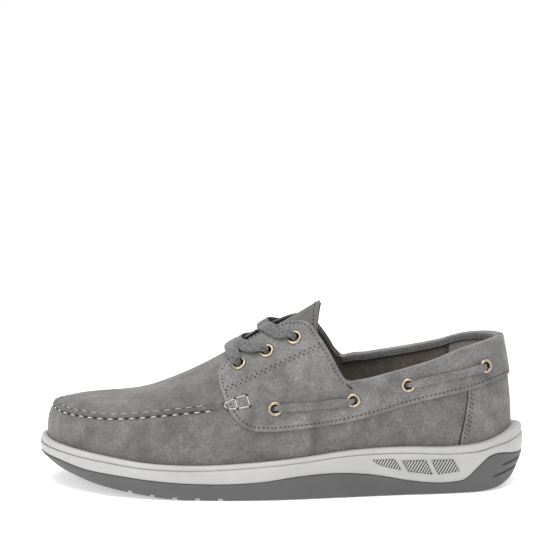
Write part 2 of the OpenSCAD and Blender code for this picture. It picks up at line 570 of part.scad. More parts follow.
// Through the eyelet e: dir is 1 going in as the station grows, -1 coming out
THONG_INSIDE_AT = 2.5;
function thong_pass(e, side, dir) = let (s = e[0] + dir * THONG_INSIDE_AT) [
  for (k = dir > 0 ? [0, 1, 2, 3] : [3, 2, 1, 0])
  [[e[0] - dir * 1.6, q_at(e, side), THONG_OVER, 3, thong_thick],
  [e[0], q_at(e, side), QUARTER_OUT, 2.6, thong_thick],
  [e[0], q_at(e, side), QUARTER_IN + 0.2, 2.6, thong_thick],
  [s, q_at([s, thong_z(s)], side), THONG_IN, 3.6, thong_thick]][k]];
function thong_run(s, off, side) = [s, q_at([s, thong_z(s)], side), off, thong_width, thong_thick];
// A stretch outside the leather, whose two ends ride up over the eyelets' rims
function thong_outside(at, side) = [for (i = [0 : len(at) - 1])
  thong_run(at[i], i == 0 || i == len(at) - 1 ? THONG_OVER : THONG_OUT, side)];
module side_thong() {
  function half(side) = [
    thong_run(-14, THONG_IN, side),
    thong_run(-8, THONG_IN, side),
    each thong_pass(SIDE_EYELETS[0], side, -1),
    each thong_outside([4, 12, 24, 37], side),
    each thong_pass(SIDE_EYELETS[1], side, 1),
    for (s = [51, 57, 64, 70]) thong_run(s, THONG_IN, side),
    each thong_pass(SIDE_EYELETS[2], side, -1),
    each thong_outside([84, 96, 108, 117, 123.5], side),
    each thong_pass(SIDE_EYELETS[3], side, 1),
    for (s = [134, 140, 145, 148, 149.7]) thong_run(s, THONG_IN, side)];
  color(SUEDE) ribbon(on_foot([each half(1), each reversed(half(-1))]));
}

LACE_UNDER = LINING_IN - layer_gap - lace_thick / 2;
LACE_OVER = QUARTER_OUT + rim_proud + lace_thick / 2 + 2 * layer_gap;
BUNCHED = [4, 2];
// Through the eyelet e from outside in; the lace comes from the middle and goes back to it
function lace_pass(e, side, lead) = [
  [e[0] - lead, q_at(e, side) * 0.76, LACE_OVER + 0.8, lace_width, lace_thick],
  [e[0], q_at(e, side) * 0.95, LACE_OVER + 0.6, BUNCHED[0], BUNCHED[1]],
  [e[0], q_at(e, side), QUARTER_IN, BUNCHED[0], BUNCHED[1]],
  [e[0] + 1, q_at(e, side) * 0.97, LACE_UNDER - 0.6, BUNCHED[0], BUNCHED[1]]];
// From the eyelet e, under its flap, up through the gap and back over the other side's edge
function lace_cross(e, side, rise) = [
  [e[0] + 2, q_at(e, side) * 0.72, LACE_UNDER - 0.2, lace_width * 0.8, lace_thick],
  [e[0] + 2, q_at(e, side) * 0.46, LACE_UNDER, lace_width, lace_thick],
  [e[0] + 2, 0, rise, lace_width, lace_thick],
  [e[0] + 4, -q_at(e, side) * 0.4, LACE_OVER + rise / 2, lace_width, lace_thick]];
module front_lace() {
  function half(side, rise) = [
    [EYELETS[0][0] - 2, 0, LACE_OVER - 0.5, lace_width, lace_thick],
    each lace_pass(EYELETS[0], side, 1),
    each lace_cross(EYELETS[0], side, rise),
    each lace_pass(EYELETS[1], -side, 6),
    each lace_cross(EYELETS[1], -side, rise),
    each lace_pass(EYELETS[2], side, 6)];
  a = half(1, 0.3);
  b = half(-1, 2.5);
  color(COTTON) ribbon(on_foot(rounded([each reversed([for (i = [1 : len(b) - 1]) b[i]]), each a], 2)));
}
// The lace's ends hang inside against the quarter's lining and lie on the footbed's edge
TAIL = [[12, 88], [15, 78], [16, 66], [14, 54], [10, 44], [3, 35.5], [-6, 30.5], [-18, 29], [-32, 28],
  [-44, 27.5]];
AGLET = [22, 2.6];
TAIL_OFF = LINED_IN - 2 * layer_gap - AGLET[1] / 2;
module lace_tail(side) {
  color(COTTON) ribbon(on_foot([
    for (p = rounded(TAIL, 2)) [p[0], q_at(p, side), TAIL_OFF, lace_width / 2, lace_thick]]));
}
module aglet(side) {
  p = TAIL[len(TAIL) - 1];
  route = [for (t = [0, 0.33, 0.67, 1]) let (s = p[0] - 0.5 - t * AGLET[0], z = p[1] - t * 0.2)
    [s, q_at([s, z], side), TAIL_OFF, AGLET[1], AGLET[1]]];
  color(COTTON) ribbon(on_foot(route));
}

outsole();
cupsole();
vents(1);  // vents_outer
vents(-1);  // vents_inner
insole_board();
shank();
footbed();
heel_pad();
vamp();
plug();
seam_roll_cord();
heel_cover();
quarter(1);  // quarter_outer
quarter(-1);  // quarter_inner
facing(1);  // facing_outer
facing(-1);  // facing_inner
toe_puff();
heel_stiffener();
vamp_lining();
quarter_lining(1);  // quarter_lining_outer
quarter_lining(-1);  // quarter_lining_inner
heel_lining();
binding(1);  // binding_outer
binding(-1);  // binding_inner
tongue();
tongue_backing();
eyelets(1);  // eyelets_outer
eyelets(-1);  // eyelets_inner
side_eyelets(1);  // side_eyelets_outer
side_eyelets(-1);  // side_eyelets_inner
side_thong();
front_lace();
lace_tail(1);  // lace_tail_outer
lace_tail(-1);  // lace_tail_inner
aglet(1);  // aglet_outer
aglet(-1);  // aglet_inner
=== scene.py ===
"""A low-cut moccasin-toe deck shoe for the left foot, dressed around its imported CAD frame.

Lengths are in millimetres while a shape is worked out and in metres once it is a mesh. A
station is a place along the sole from -150 at the toe to 150 at the heel. A lap is a place
round its outline, from 0 at the toe to 0.5 at the heel on the outer side, negative inside.
A share is a place up the foot's section, 0 at the sole's seam and 1 on the ridge.
"""
import logging
import math
from dataclasses import dataclass, field
from enum import Enum
from typing import Callable, Optional, Sequence

import bpy
import numpy as np
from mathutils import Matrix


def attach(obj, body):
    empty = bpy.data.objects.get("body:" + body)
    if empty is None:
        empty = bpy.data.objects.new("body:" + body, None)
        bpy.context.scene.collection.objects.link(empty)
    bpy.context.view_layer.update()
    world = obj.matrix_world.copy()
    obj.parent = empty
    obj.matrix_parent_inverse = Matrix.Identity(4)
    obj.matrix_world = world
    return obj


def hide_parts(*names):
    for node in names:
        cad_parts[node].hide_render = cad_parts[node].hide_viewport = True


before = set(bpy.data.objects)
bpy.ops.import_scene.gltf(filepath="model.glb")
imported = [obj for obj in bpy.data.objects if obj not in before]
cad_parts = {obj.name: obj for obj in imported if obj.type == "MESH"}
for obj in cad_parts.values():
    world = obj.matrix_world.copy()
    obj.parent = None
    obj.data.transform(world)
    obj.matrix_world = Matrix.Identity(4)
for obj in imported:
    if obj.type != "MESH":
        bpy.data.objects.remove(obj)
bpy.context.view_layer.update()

MM = 0.001
log = logging.getLogger("deck_shoe")

Points = Sequence[tuple[float, float]]
Array = np.ndarray


class Side(Enum):
    """The outer or the inner side of the foot."""

    OUTER = 1
    INNER = -1

    @property
    def word(self) -> str:
        """The side's name, as the nodes spell it."""
        return "outer" if self is Side.OUTER else "inner"


class Body(Enum):
    """The bodies of the frame."""

    SHOE = "shoe"
    TONGUE = "tongue"


# ---------------------------------------------------------------- curves and grids


def smooth_curve(points: Points, x: Array) -> Array:
    """A cubic Hermite curve whose tangents are the neighbouring slopes, each weighted by the other's span.

    Args:
        points: (x, value) pairs in rising x.
        x: where to read the curve; held to the first and last x.

    Returns:
        The values at x.
    """
    table = np.array(points, float)
    xs, ys = table[:, 0], table[:, 1]
    x = np.clip(np.asarray(x, float), xs[0], xs[-1])
    gap = np.diff(xs)
    slope = np.diff(ys) / gap
    tangent = np.concatenate([slope[:1], slope])
    tangent[1:-1] = (slope[:-1] * gap[1:] + slope[1:] * gap[:-1]) / (gap[1:] + gap[:-1])
    i = np.clip(np.searchsorted(xs, x, side="right") - 1, 0, len(xs) - 2)
    t = (x - xs[i]) / gap[i]
    rise = (t**3 - 2 * t**2 + t) * gap[i] * tangent[i] + (t**3 - t**2) * gap[i] * tangent[i + 1]
    return (2 * t**3 - 3 * t**2 + 1) * ys[i] + (3 * t**2 - 2 * t**3) * ys[i + 1] + rise


def smooth_step(t: Array) -> Array:
    """3t^2 - 2t^3, held to 0 and 1 outside."""
    held = np.clip(t, 0, 1)
    return held * held * (3 - 2 * held)


def unit(v: Array) -> Array:
    """Vectors of length 1 along the last axis."""
    return v / np.maximum(np.linalg.norm(v, axis=-1, keepdims=True), 1e-12)


def blend(a: Array, b: Array, t: Array) -> Array:
    """Straight mix from a to b."""
    return a + (b - a) * t


def run_along(line: Array) -> Array:
    """The distance from a line's first point to each of its points, along it."""
    return np.concatenate([[0.0], np.cumsum(np.linalg.norm(np.diff(line, axis=0), axis=1))])


def spaced(line: Array, pitch: float) -> tuple[Array, Array]:
    """Points an even pitch apart along a line, and where each lies on it.

    Args:
        line: the line's own points, one a row.
        pitch: wanted distance between points, in millimetres.

    Returns:
        The points, and their places as a fractional row of the line.
    """
    run = run_along(line)
    count = max(2, int(round(run[-1] / pitch)) + 1)
    at = np.linspace(0, run[-1], count)
    place = np.interp(at, run, np.arange(len(run)))
    return np.stack([np.interp(at, run, line[:, k]) for k in range(3)], -1), place


def read_rows(rows: Array, place: Array) -> Array:
    """Rows read at fractional places."""
    low = np.clip(np.floor(place).astype(int), 0, len(rows) - 2)
    return blend(rows[low], rows[low + 1], (place - low)[:, None])


# ---------------------------------------------------------------- the last


@dataclass(frozen=True)
class Last:
    """The surface that the upper is drawn on, by the same formulas as the CAD model."""

    lift: float = -1.6
    heel_lean: float = 5.5
    heel_from: float = 95.0
    collar_rise: float = 55.0
    outline: Points = (
        (-150, 6), (-145, -12), (-133, -27), (-112, -41), (-80, -50.5), (-42, -53), (-4, -51), (34, -45),
        (70, -39.5), (102, -36.5), (127, -31), (143, -18), (150, 0), (143, 18), (127, 29), (102, 33.5),
        (70, 33), (34, 35), (-4, 42.5), (-42, 51.5), (-80, 53), (-112, 49), (-133, 39), (-145, 24))
    feather_in: Points = ((-150, 4.5), (-100, 4.5), (60, 5), (110, 6), (150, 7.5))
    feather_line: Points = (
        (-150, 30), (-113, 26.5), (-82, 23), (-51, 22), (-19, 23.5), (12, 26), (43, 29.5), (74, 30.5),
        (106, 30), (124, 31.5), (137, 34), (150, 38))
    ridge_line: Points = (
        (-150, 52), (-135, 53), (-113, 54), (-88, 57.5), (-63, 67), (-38, 80), (-10, 98), (21, 114),
        (50, 128), (90, 150), (150, 175))
    squareness: Points = (
        (-150, 3.6), (-120, 3), (-90, 2.5), (-40, 2.1), (0, 1.9), (40, 2.1), (90, 2.6), (150, 2.8))
    spine_x: Points = ((-150, -112), (-120, -102), (-90, -86), (-60, -60), (60, 60), (100, 97), (150, 112))
    spine_y: Points = ((-150, 4), (-100, 2), (-40, 0), (60, -2), (150, 0))

    def _cell(self, lap: Array) -> tuple[Array, Array, Array, Array, Array]:
        """The four outline points round a lap, and how far it is between the middle two.

        Args:
            lap: places round the outline.

        Returns:
            The four points, and a share from 0 to 1 between the second and the third.
        """
        p = np.array(self.outline, float)
        s = np.mod(lap, 1.0) * len(p)
        i = np.floor(s).astype(int) % len(p)
        near = [p[(i + k) % len(p)] for k in (-1, 0, 1, 2)]
        return (*near, (s - np.floor(s))[..., None])

    def plan(self, lap: Array, inset: Array = 0.0) -> Array:
        """The sole's outline as a closed Catmull-Rom spline, moved inwards along its normal.

        Args:
            lap: places round the outline.
            inset: how far inwards.

        Returns:
            Points in plan.
        """
        a, b, c, d, t = self._cell(np.asarray(lap, float))
        at = 0.5 * (2 * b + (c - a) * t + (2 * a - 5 * b + 4 * c - d) * t**2 + (3 * b - a - 3 * c + d) * t**3)
        speed = unit((c - a) + 2 * (2 * a - 5 * b + 4 * c - d) * t + 3 * (3 * b - a - 3 * c + d) * t**2)
        inwards = np.stack([-speed[..., 1], speed[..., 0]], -1)
        return at + inwards * np.asarray(inset, float)[..., None]

    def station(self, lap: Array) -> Array:
        """The station of a lap."""
        return self.plan(lap)[..., 0]

    def lap(self, station: Array) -> Array:
        """The lap on the outer side at a station, from a fine table."""
        laps = np.linspace(0, 0.5, 6001)
        return np.interp(station, np.maximum.accumulate(self.station(laps)), laps)

    def feather(self, station: Array) -> Array:
        """Height of the seam between upper and sole."""
        return smooth_curve(self.feather_line, station) + self.lift

    def skin(self, lap: Array, share: Array, tuck: Array = 0.0, drop: Array = 0.0) -> Array:
        """A point of the last: a superellipse quarter from the feather, over to the spine.

        Args:
            lap: place round the outline.
            share: place up the section; a negative share is a depth in millimetres below the feather.
            tuck: how far the section's foot moves inwards.
            drop: how far its ridge is lowered.

        Returns:
            Points in millimetres.
        """
        lap, share = np.broadcast_arrays(np.asarray(lap, float), np.asarray(share, float))
        s = self.station(lap)
        power = 2 / smooth_curve(self.squareness, s)
        base = self.plan(lap, smooth_curve(self.feather_in, s) + tuck)
        spine_x = smooth_curve(self.spine_x, s)
        spine = np.stack([spine_x, smooth_curve(self.spine_y, spine_x)], -1)
        turn = np.clip(share, 0, 1) * math.pi / 2
        inward = 1 - np.maximum(np.cos(turn), 0) ** power
        ridge = smooth_curve(self.ridge_line, spine_x) + self.lift - drop
        foot = self.feather(s)
        rise = np.where(share < 0, share, (ridge - foot) * np.sin(turn) ** power)
        up = np.clip(rise / self.collar_rise, 0, 1.8)
        lean = self.heel_lean * smooth_step((s - self.heel_from) / self.collar_rise) * up**1.6
        xy = base + (spine - base) * inward[..., None] + unit(spine - base) * lean[..., None]
        return np.concatenate([xy, (foot + rise)[..., None]], -1)

    def share(self, station: Array, height: Array) -> Array:
        """The share of a drawn height: the inverse of the section's superellipse.

        Args:
            station: places along the sole.
            height: heights over the ground, before the last's lift.

        Returns:
            The shares, held to 0 and 1.
        """
        foot = smooth_curve(self.feather_line, station)
        ridge = smooth_curve(self.ridge_line, smooth_curve(self.spine_x, station))
        part = np.clip((height - foot) / (ridge - foot), 0, 1)
        return np.arcsin(part ** (smooth_curve(self.squareness, station) / 2)) * 2 / math.pi

    def normal(self, lap: Array, share: Array) -> Array:
        """The outward normal: the cross product of two short steps over the surface.

        Args:
            lap: places round the outline.
            share: places up the section.

        Returns:
            Vectors of length 1.
        """
        along = self.skin(lap + 0.001, share) - self.skin(lap - 0.001, share)
        upwards = self.skin(lap, np.minimum(share + 0.01, 1)) - self.skin(lap, share - 0.01)
        return unit(np.cross(along, upwards))

    def spot(self, station: Array, height: Array, side: Side, off: Array = 0.0) -> tuple[Array, Array]:
        """Points on one side of the last, and their normals.

        Args:
            station: places along the sole.
            height: drawn heights.
            side: the side.
            off: distance off the last.

        Returns:
            The points and the outward normals there.
        """
        lap, share = side.value * self.lap(station), self.share(station, height)
        out = self.normal(lap, share)
        return self.skin(lap, share) + out * np.asarray(off, float)[..., None], out

    def across(self, station: Array, q: Array, off: Array) -> tuple[Array, Array]:
        """Points across the foot, and their normals.

        Args:
            station: places along the sole.
            q: -1 at the outer feather, 0 on the ridge and 1 at the inner feather.
            off: distance off the last.

        Returns:
            The points and the outward normals there.
        """
        lap = np.where(q <= 0, 1, -1) * self.lap(station)
        share = 1 - np.abs(q)
        out = self.normal(lap, share)
        return self.skin(lap, share) + out * np.asarray(off, float)[..., None], out


LAST = Last()

# Lines on the upper, (station, height) at the design size, as the CAD model has them
SEAM: Points = (
    (-150, 49.5), (-140, 48.5), (-124, 48), (-104, 48), (-89, 49), (-72, 51), (-50, 54), (-33, 56))
QUARTER_LOW: Points = (
    (-36.5, 72.5), (-36, 68.5), (-34.5, 64), (-30, 54), (-26, 48.5), (-22, 45.5), (-15, 43), (-7, 42.5),
    (4, 43), (33, 46), (54, 50), (83, 58), (115, 64.5), (133, 68), (150, 70))
QUARTER_TOP: Points = (
    (-36.5, 73.5), (-33, 78), (-25, 85.5), (-17, 91.5), (-10, 95.5), (-3, 99), (6, 102.5), (14.5, 103.5),
    (17, 103), (19, 101.5), (23, 96.5), (31, 84.5), (35, 77), (38.5, 72), (42.5, 70.5), (48.5, 71),
    (67, 75), (90.5, 81.5), (115.5, 89.5), (134.5, 92), (150, 93))
INNER_RISE: Points = ((33, 0), (38.5, 3), (42.5, 5), (54, 5), (67, 4), (90.5, 1.5), (102, 0))
EYELETS: Points = ((-24, 78.5), (-7.5, 86.5), (9, 94.5))
SIDE_EYELETS: Points = ((-3, 55), (44, 59.5), (77, 68), (128.5, 77.5))
EYELET_HOLE, SIDE_EYELET_HOLE = 6.2, 5.6

# Where the rolled seam ends and the quarter's front edge covers it
SEAM_END = -33.0

# Levels off the last: the quarters, the quarter linings, and the vamp's and the heel's linings
QUARTER_IN, QUARTER_OUT = 0.25, 1.65
LINING_OUT, LINING_IN = -1.65, -2.55
LINED, LINED_IN = -2.5, -3.4
LEATHER = 1.4

# The footbed's top over the feather
FLOOR = 2.4


# ---------------------------------------------------------------- meshes


@dataclass
class Surface:
    """A bare sheet: its points, its outward quads and the closed loop of its rim."""

    points: Array
    quads: Array
    rim: Array

    @classmethod
    def grid(cls, p: Array, fold: bool = False) -> "Surface":
        """A sheet from a grid whose rows run along the lap and whose columns run upwards.

        Args:
            p: the grid, rows by columns by 3.
            fold: row 0 is the toe's middle line, where the two sides are one.

        Returns:
            The sheet, with its rim running anticlockwise as seen from outside.
        """
        rows, cols = p.shape[:2]
        name = np.arange(rows * cols).reshape(rows, cols)
        if fold:
            name[0] = np.minimum(name[0], name[0, ::-1])
        quads = np.stack([name[:-1, :-1], name[1:, :-1], name[1:, 1:], name[:-1, 1:]], -1).reshape(-1, 4)
        head = [] if fold else [name[0, :0:-1]]
        rim = np.concatenate([name[:-1, 0], name[-1, :-1], name[:0:-1, -1], *head])
        return cls(p.reshape(-1, 3), quads, rim)

    def normals(self) -> Array:
        """Point normals: each is the sum of its quads' area vectors, made length 1.

        Returns:
            A vector for each point.
        """
        a, b, c, d = (self.points[self.quads[:, k]] for k in range(4))
        area = np.cross(c - a, d - b)
        total = np.zeros_like(self.points)
        for k in range(4):
            np.add.at(total, self.quads[:, k], area)
        return unit(total)

    def thick(self, outer: Array, inner: Array, rounds: int = 6) -> tuple[Array, Array, Array]:
        """The sheet with a thickness and half-round edges.

        Args:
            outer: level of the outer face off the sheet, one for all or one a point.
            inner: level of the inner face.
            rounds: faces round the edge.

        Returns:
            Points, quads, and for each quad 1 where it is on the edge and 0 elsewhere.
        """
        out = self.normals()
        top = np.broadcast_to(np.asarray(outer, float), len(self.points))
        low = np.broadcast_to(np.asarray(inner, float), len(self.points))
        count = len(self.points)
        edge, lift = self.points[self.rim], out[self.rim]
        along = unit(np.roll(edge, -1, 0) - np.roll(edge, 1, 0))
        away = unit(np.cross(along, lift))
        middle, half = (top + low)[self.rim] / 2, (top - low)[self.rim] / 2
        turns = np.linspace(0, math.pi, rounds + 1)[1:-1]
        rings = [edge + lift * (middle + half * math.cos(t))[:, None] + away * (half * math.sin(t))[:, None]
                 for t in turns]
        points = np.concatenate([self.points + out * top[:, None], self.points + out * low[:, None], *rings])
        size = len(self.rim)
        name = np.concatenate([[self.rim], 2 * count + np.arange(len(turns) * size).reshape(-1, size),
                               [self.rim + count]])
        after = np.roll(name, -1, 1)
        edges = np.stack([name[:-1], name[1:], after[1:], after[:-1]], -1).reshape(-1, 4)
        quads = np.concatenate([self.quads, self.quads[:, ::-1] + count, edges])
        kind = np.concatenate([np.zeros(2 * len(self.quads), int), np.ones(len(edges), int)])
        return points, quads, kind


def make_mesh(name: str, points: Array, faces: Array, kinds: Optional[Array] = None,
              uv: Optional[Array] = None) -> bpy.types.Object:
    """An object from points in millimetres, at the origin.

    Args:
        name: the piece's name.
        points: its points.
        faces: quads, or triangles, one a row. A quad may repeat a point.
        kinds: which material slot each face takes.
        uv: a UV place for each point, in metres.

    Returns:
        The object, linked to the scene and shaded smooth.
    """
    rows = np.asarray(faces, int)
    kinds = np.zeros(len(rows), int) if kinds is None else np.asarray(kinds)
    fresh = rows != np.roll(rows, 1, axis=1)
    keep = fresh.sum(1) >= 3
    rows, fresh, kinds = rows[keep], fresh[keep], kinds[keep]
    corners = rows[fresh]
    totals = fresh.sum(1)
    starts = np.concatenate([[0], np.cumsum(totals)[:-1]])
    used, corners = np.unique(corners, return_inverse=True)
    mesh = bpy.data.meshes.new(name)
    mesh.vertices.add(len(used))
    mesh.vertices.foreach_set("co", (points[used] * MM).astype(np.float32).ravel())
    mesh.loops.add(len(corners))
    mesh.loops.foreach_set("vertex_index", corners.ravel().astype(np.int32))
    mesh.polygons.add(len(rows))
    mesh.polygons.foreach_set("loop_start", starts.astype(np.int32))
    mesh.polygons.foreach_set("material_index", kinds.astype(np.int32))
    mesh.polygons.foreach_set("use_smooth", np.ones(len(rows), bool))
    if uv is not None:
        layer = mesh.uv_layers.new(name="along")
        layer.data.foreach_set("uv", uv[used][corners.ravel()].astype(np.float32).ravel())
    mesh.update(calc_edges=True)
    mesh.validate()
    piece = bpy.data.objects.new(name, mesh)
    bpy.context.scene.collection.objects.link(piece)
    return piece


def loft(rings: Array) -> tuple[Array, Array]:
    """A closed solid through rings: quads between rings, and a fan over each end.

    Args:
        rings: rings by points by 3.

    Returns:
        Points and quads.
    """
    layers, count = rings.shape[:2]
    name = np.arange(layers * count).reshape(layers, count)
    after = np.roll(name, -1, 1)
    walls = np.stack([name[:-1], after[:-1], after[1:], name[1:]], -1).reshape(-1, 4)
    ends = np.stack([rings[0].mean(0), rings[-1].mean(0)])
    low, high = layers * count, layers * count + 1
    floor = np.stack([after[0], name[0], np.full(count, low), np.full(count, low)], -1)
    roof = np.stack([name[-1], after[-1], np.full(count, high), np.full(count, high)], -1)
    return np.concatenate([rings.reshape(-1, 3), ends]), np.concatenate([walls, floor, roof])


def sweep(line: Array, up: Array, width: Array, thick: Array, sides: int = 16, squareness: float = 2.6
          ) -> tuple[Array, Array, Array]:
    """A flat strip: a superellipse carried along a line, its ends closed by a fan.

    Args:
        line: the line's points.
        up: the direction of the strip's thin way at each.
        width: its width at each.
        thick: its thickness at each.
        sides: points round the section.
        squareness: the superellipse's exponent; 2 is an ellipse.

    Returns:
        Points, quads, and UV places with U along and V across, in metres.
    """
    along = unit(np.gradient(line, axis=0))
    across = unit(np.cross(along, up))
    out = np.cross(across, along)
    turn = 2 * math.pi * (np.arange(sides) + 0.5) / sides
    power = 2 / squareness
    flat = np.sign(np.cos(turn)) * np.abs(np.cos(turn)) ** power
    tall = np.sign(np.sin(turn)) * np.abs(np.sin(turn)) ** power
    rings = (line[:, None] + across[:, None] * (width[:, None, None] / 2 * flat[None, :, None])
             + out[:, None] * (thick[:, None, None] / 2 * tall[None, :, None]))
    points, quads = loft(rings)
    run = run_along(line)
    u = np.repeat(run, sides)
    v = (width[:, None] / 2 * flat[None, :]).ravel()
    uv = np.concatenate([np.stack([u, v], -1), [[0, 0], [run[-1], 0]]]) * MM
    return points, quads, uv


def lathe(profile: Points, spots: Array, normals: Array, sides: int = 40) -> tuple[Array, Array]:
    """A closed profile turned round each spot's normal: radius r at angle a is r cos a, r sin a.

    Args:
        profile: (radius, height) pairs, in order round the section.
        spots: a centre for each copy.
        normals: the axis of each.
        sides: points round the axis.

    Returns:
        Points and quads of all the copies.
    """
    p = np.array(profile, float)
    turn = 2 * math.pi * np.arange(sides) / sides
    tilt = np.where(np.abs(normals[:, 2:]) > 0.9, [[1.0, 0, 0]], [[0, 0, 1.0]])
    x = unit(np.cross(tilt, normals))
    y = np.cross(normals, x)
    radial = x[:, None] * np.cos(turn)[None, :, None] + y[:, None] * np.sin(turn)[None, :, None]
    points = (spots[:, None, None] + radial[:, :, None] * p[None, None, :, :1]
              + normals[:, None, None] * p[None, None, :, 1:])
    name = np.arange(len(spots) * sides * len(p)).reshape(len(spots), sides, len(p))
    right, above = np.roll(name, -1, 1), np.roll(name, -1, 2)
    quads = np.stack([name, right, np.roll(right, -1, 2), above], -1)
    return points.reshape(-1, 3), quads.reshape(-1, 4)


# ---------------------------------------------------------------- finishes


class Graph:
    """A node tree with short ways to add nodes and join them."""

    def __init__(self, tree: bpy.types.NodeTree) -> None:
        """Takes the tree that is drawn in."""
        self.tree = tree

    def node(self, kind: str, values: Optional[dict] = None, **settings: object) -> bpy.types.Node:
        """Adds a node.

        Args:
            kind: the node's type name, without ShaderNode.
            values: a number, colour or socket for each named input.
            **settings: properties of the node itself.

        Returns:
            The new node.
        """
        made = self.tree.nodes.new("ShaderNode" + kind)
        for key, value in settings.items():
            setattr(made, key, value)
        for key, value in (values or {}).items():
            self.feed(made.inputs[key], value)
        return made

    def feed(self, socket: bpy.types.NodeSocket, value: object) -> None:
        """Joins a socket to another one, or gives it a value of its own.

        Args:
            socket: the socket that is fed.
            value: a socket, a number or a colour.
        """
        if isinstance(value, bpy.types.NodeSocket):
            self.tree.links.new(value, socket)
        else:
            socket.default_value = value

    def group(self, tree: bpy.types.NodeTree, values: dict) -> bpy.types.bpy_prop_collection:
        """Places an effect group with its own values, and gives its outputs."""
        return self.node("Group", values, node_tree=tree).outputs

    def math(self, operation: str, a: object, b: object = 0.0) -> bpy.types.NodeSocket:
        """One sum of two values."""
        return self.node("Math", {0: a, 1: b}, operation=operation).outputs[0]

    def remap(self, value: bpy.types.NodeSocket, low: float, high: float, to_low: float, to_high: float
              ) -> bpy.types.NodeSocket:
        """A value moved from one range to another and held to it."""
        wanted = {"Value": value, "From Min": low, "From Max": high, "To Min": to_low, "To Max": to_high}
        return self.node("MapRange", wanted).outputs["Result"]

    def mix(self, share: object, a: object, b: object) -> bpy.types.NodeSocket:
        """A mix of two colours, a where share is 0 and b where it is 1."""
        return self.node("Mix", {0: share, 6: a, 7: b}, data_type="RGBA").outputs[2]


def new_group(name: str, inputs: dict[str, float], outputs: Sequence[str]
              ) -> tuple[bpy.types.NodeTree, Graph, bpy.types.Node, bpy.types.Node]:
    """An empty effect group with float inputs besides its Vector.

    Args:
        name: the group's name.
        inputs: default value of each number that it takes.
        outputs: names of the values that it gives.

    Returns:
        The tree, a Graph on it, its input node and its output node.
    """
    tree = bpy.data.node_groups.new(name, "ShaderNodeTree")
    tree.interface.new_socket("Vector", in_out="INPUT", socket_type="NodeSocketVector")
    for key, value in inputs.items():
        tree.interface.new_socket(key, in_out="INPUT", socket_type="NodeSocketFloat").default_value = value
    for key in outputs:
        tree.interface.new_socket(key, in_out="OUTPUT", socket_type="NodeSocketFloat")
    return tree, Graph(tree), tree.nodes.new("NodeGroupInput"), tree.nodes.new("NodeGroupOutput")


def mottle_group() -> bpy.types.NodeTree:
    """Clouds of tone: two noises, a broad and a smaller, and rare thin scuffs along a bent cell edge.

    Returns:
        The group, with the values Clouds and Scuffs.
    """
    numbers = {"Broad": 45, "Small": 160, "Contrast": 1}
    tree, g, take, give = new_group("mottle", numbers, ("Clouds", "Scuffs"))
    vector = take.outputs["Vector"]
    broad = g.node("TexNoise", {"Vector": vector, "Scale": take.outputs["Broad"], "Detail": 3.0,
                                "Roughness": 0.55, "Distortion": 0.6}).outputs["Fac"]
    small = g.node("TexNoise", {"Vector": vector, "Scale": take.outputs["Small"], "Detail": 4.0,
                                "Roughness": 0.6}).outputs["Fac"]
    both = g.math("ADD", g.math("MULTIPLY", broad, 0.62), g.math("MULTIPLY", small, 0.38))
    centred = g.math("MULTIPLY", g.math("SUBTRACT", both, 0.5), take.outputs["Contrast"])
    tree.links.new(g.remap(centred, -0.16, 0.16, 0.0, 1.0), give.inputs["Clouds"])
    bend = g.node("TexNoise", {"Vector": vector, "Scale": 60.0}).outputs["Color"]
    bent = g.node("VectorMath", {0: vector, 1: bend, 2: (0, 0, 0)}, operation="MULTIPLY_ADD")
    cell = g.node("TexVoronoi", {"Vector": bent.outputs[0], "Scale": 70.0}, feature="DISTANCE_TO_EDGE")
    line = g.remap(cell.outputs["Distance"], 0.0, 0.02, 1.0, 0.0)
    rare = g.remap(small, 0.52, 0.66, 0.0, 1.0)
    tree.links.new(g.math("MULTIPLY", line, rare), give.inputs["Scuffs"])
    return tree


def nap_group() -> bpy.types.NodeTree:
    """The buffed nap of nubuck: fine noise for tone, and noise with pores for height.

    Returns:
        The group, with the values Tone and Height.
    """
    tree, g, take, give = new_group("nap", {"Scale": 1600}, ("Tone", "Height"))
    vector, scale = take.outputs["Vector"], take.outputs["Scale"]
    noise = {"Vector": vector, "Scale": scale, "Detail": 5.0, "Roughness": 0.72}
    fine = g.node("TexNoise", noise).outputs["Fac"]
    cells = {"Vector": vector, "Scale": g.math("MULTIPLY", scale, 0.55)}
    pores = g.node("TexVoronoi", cells).outputs["Distance"]
    tree.links.new(g.remap(fine, 0.3, 0.7, 0.0, 1.0), give.inputs["Tone"])
    height = g.math("ADD", g.math("MULTIPLY", fine, 0.7), g.math("MULTIPLY", pores, 0.3))
    tree.links.new(height, give.inputs["Height"])
    return tree


def weave_group() -> bpy.types.NodeTree:
    """A flat braid: two sets of slanted ribs that cross, |sin(pi (u + v))| and |sin(pi (u - v))|.

    Returns:
        The group, with the values Ribs and Fibre.
    """
    tree, g, take, give = new_group("braid", {"Pitch": 0.0011}, ("Ribs", "Fibre"))
    vector = take.outputs["Vector"]
    split = g.node("SeparateXYZ", {"Vector": vector})
    u = g.math("DIVIDE", split.outputs["X"], take.outputs["Pitch"])
    v = g.math("DIVIDE", split.outputs["Y"], take.outputs["Pitch"])
    ribs = []
    for way in (1.0, -1.0):
        slant = g.math("ADD", u, g.math("MULTIPLY", v, way))
        ribs.append(g.math("ABSOLUTE", g.math("SINE", g.math("MULTIPLY", slant, math.pi))))
    tree.links.new(g.math("MAXIMUM", *ribs), give.inputs["Ribs"])
    fibre = g.node("TexNoise", {"Vector": vector, "Scale": 480.0, "Detail": 5.0, "Roughness": 0.8})
    tree.links.new(g.remap(fibre.outputs["Fac"], 0.42, 0.6, 0.0, 1.0), give.inputs["Fibre"])
    return tree


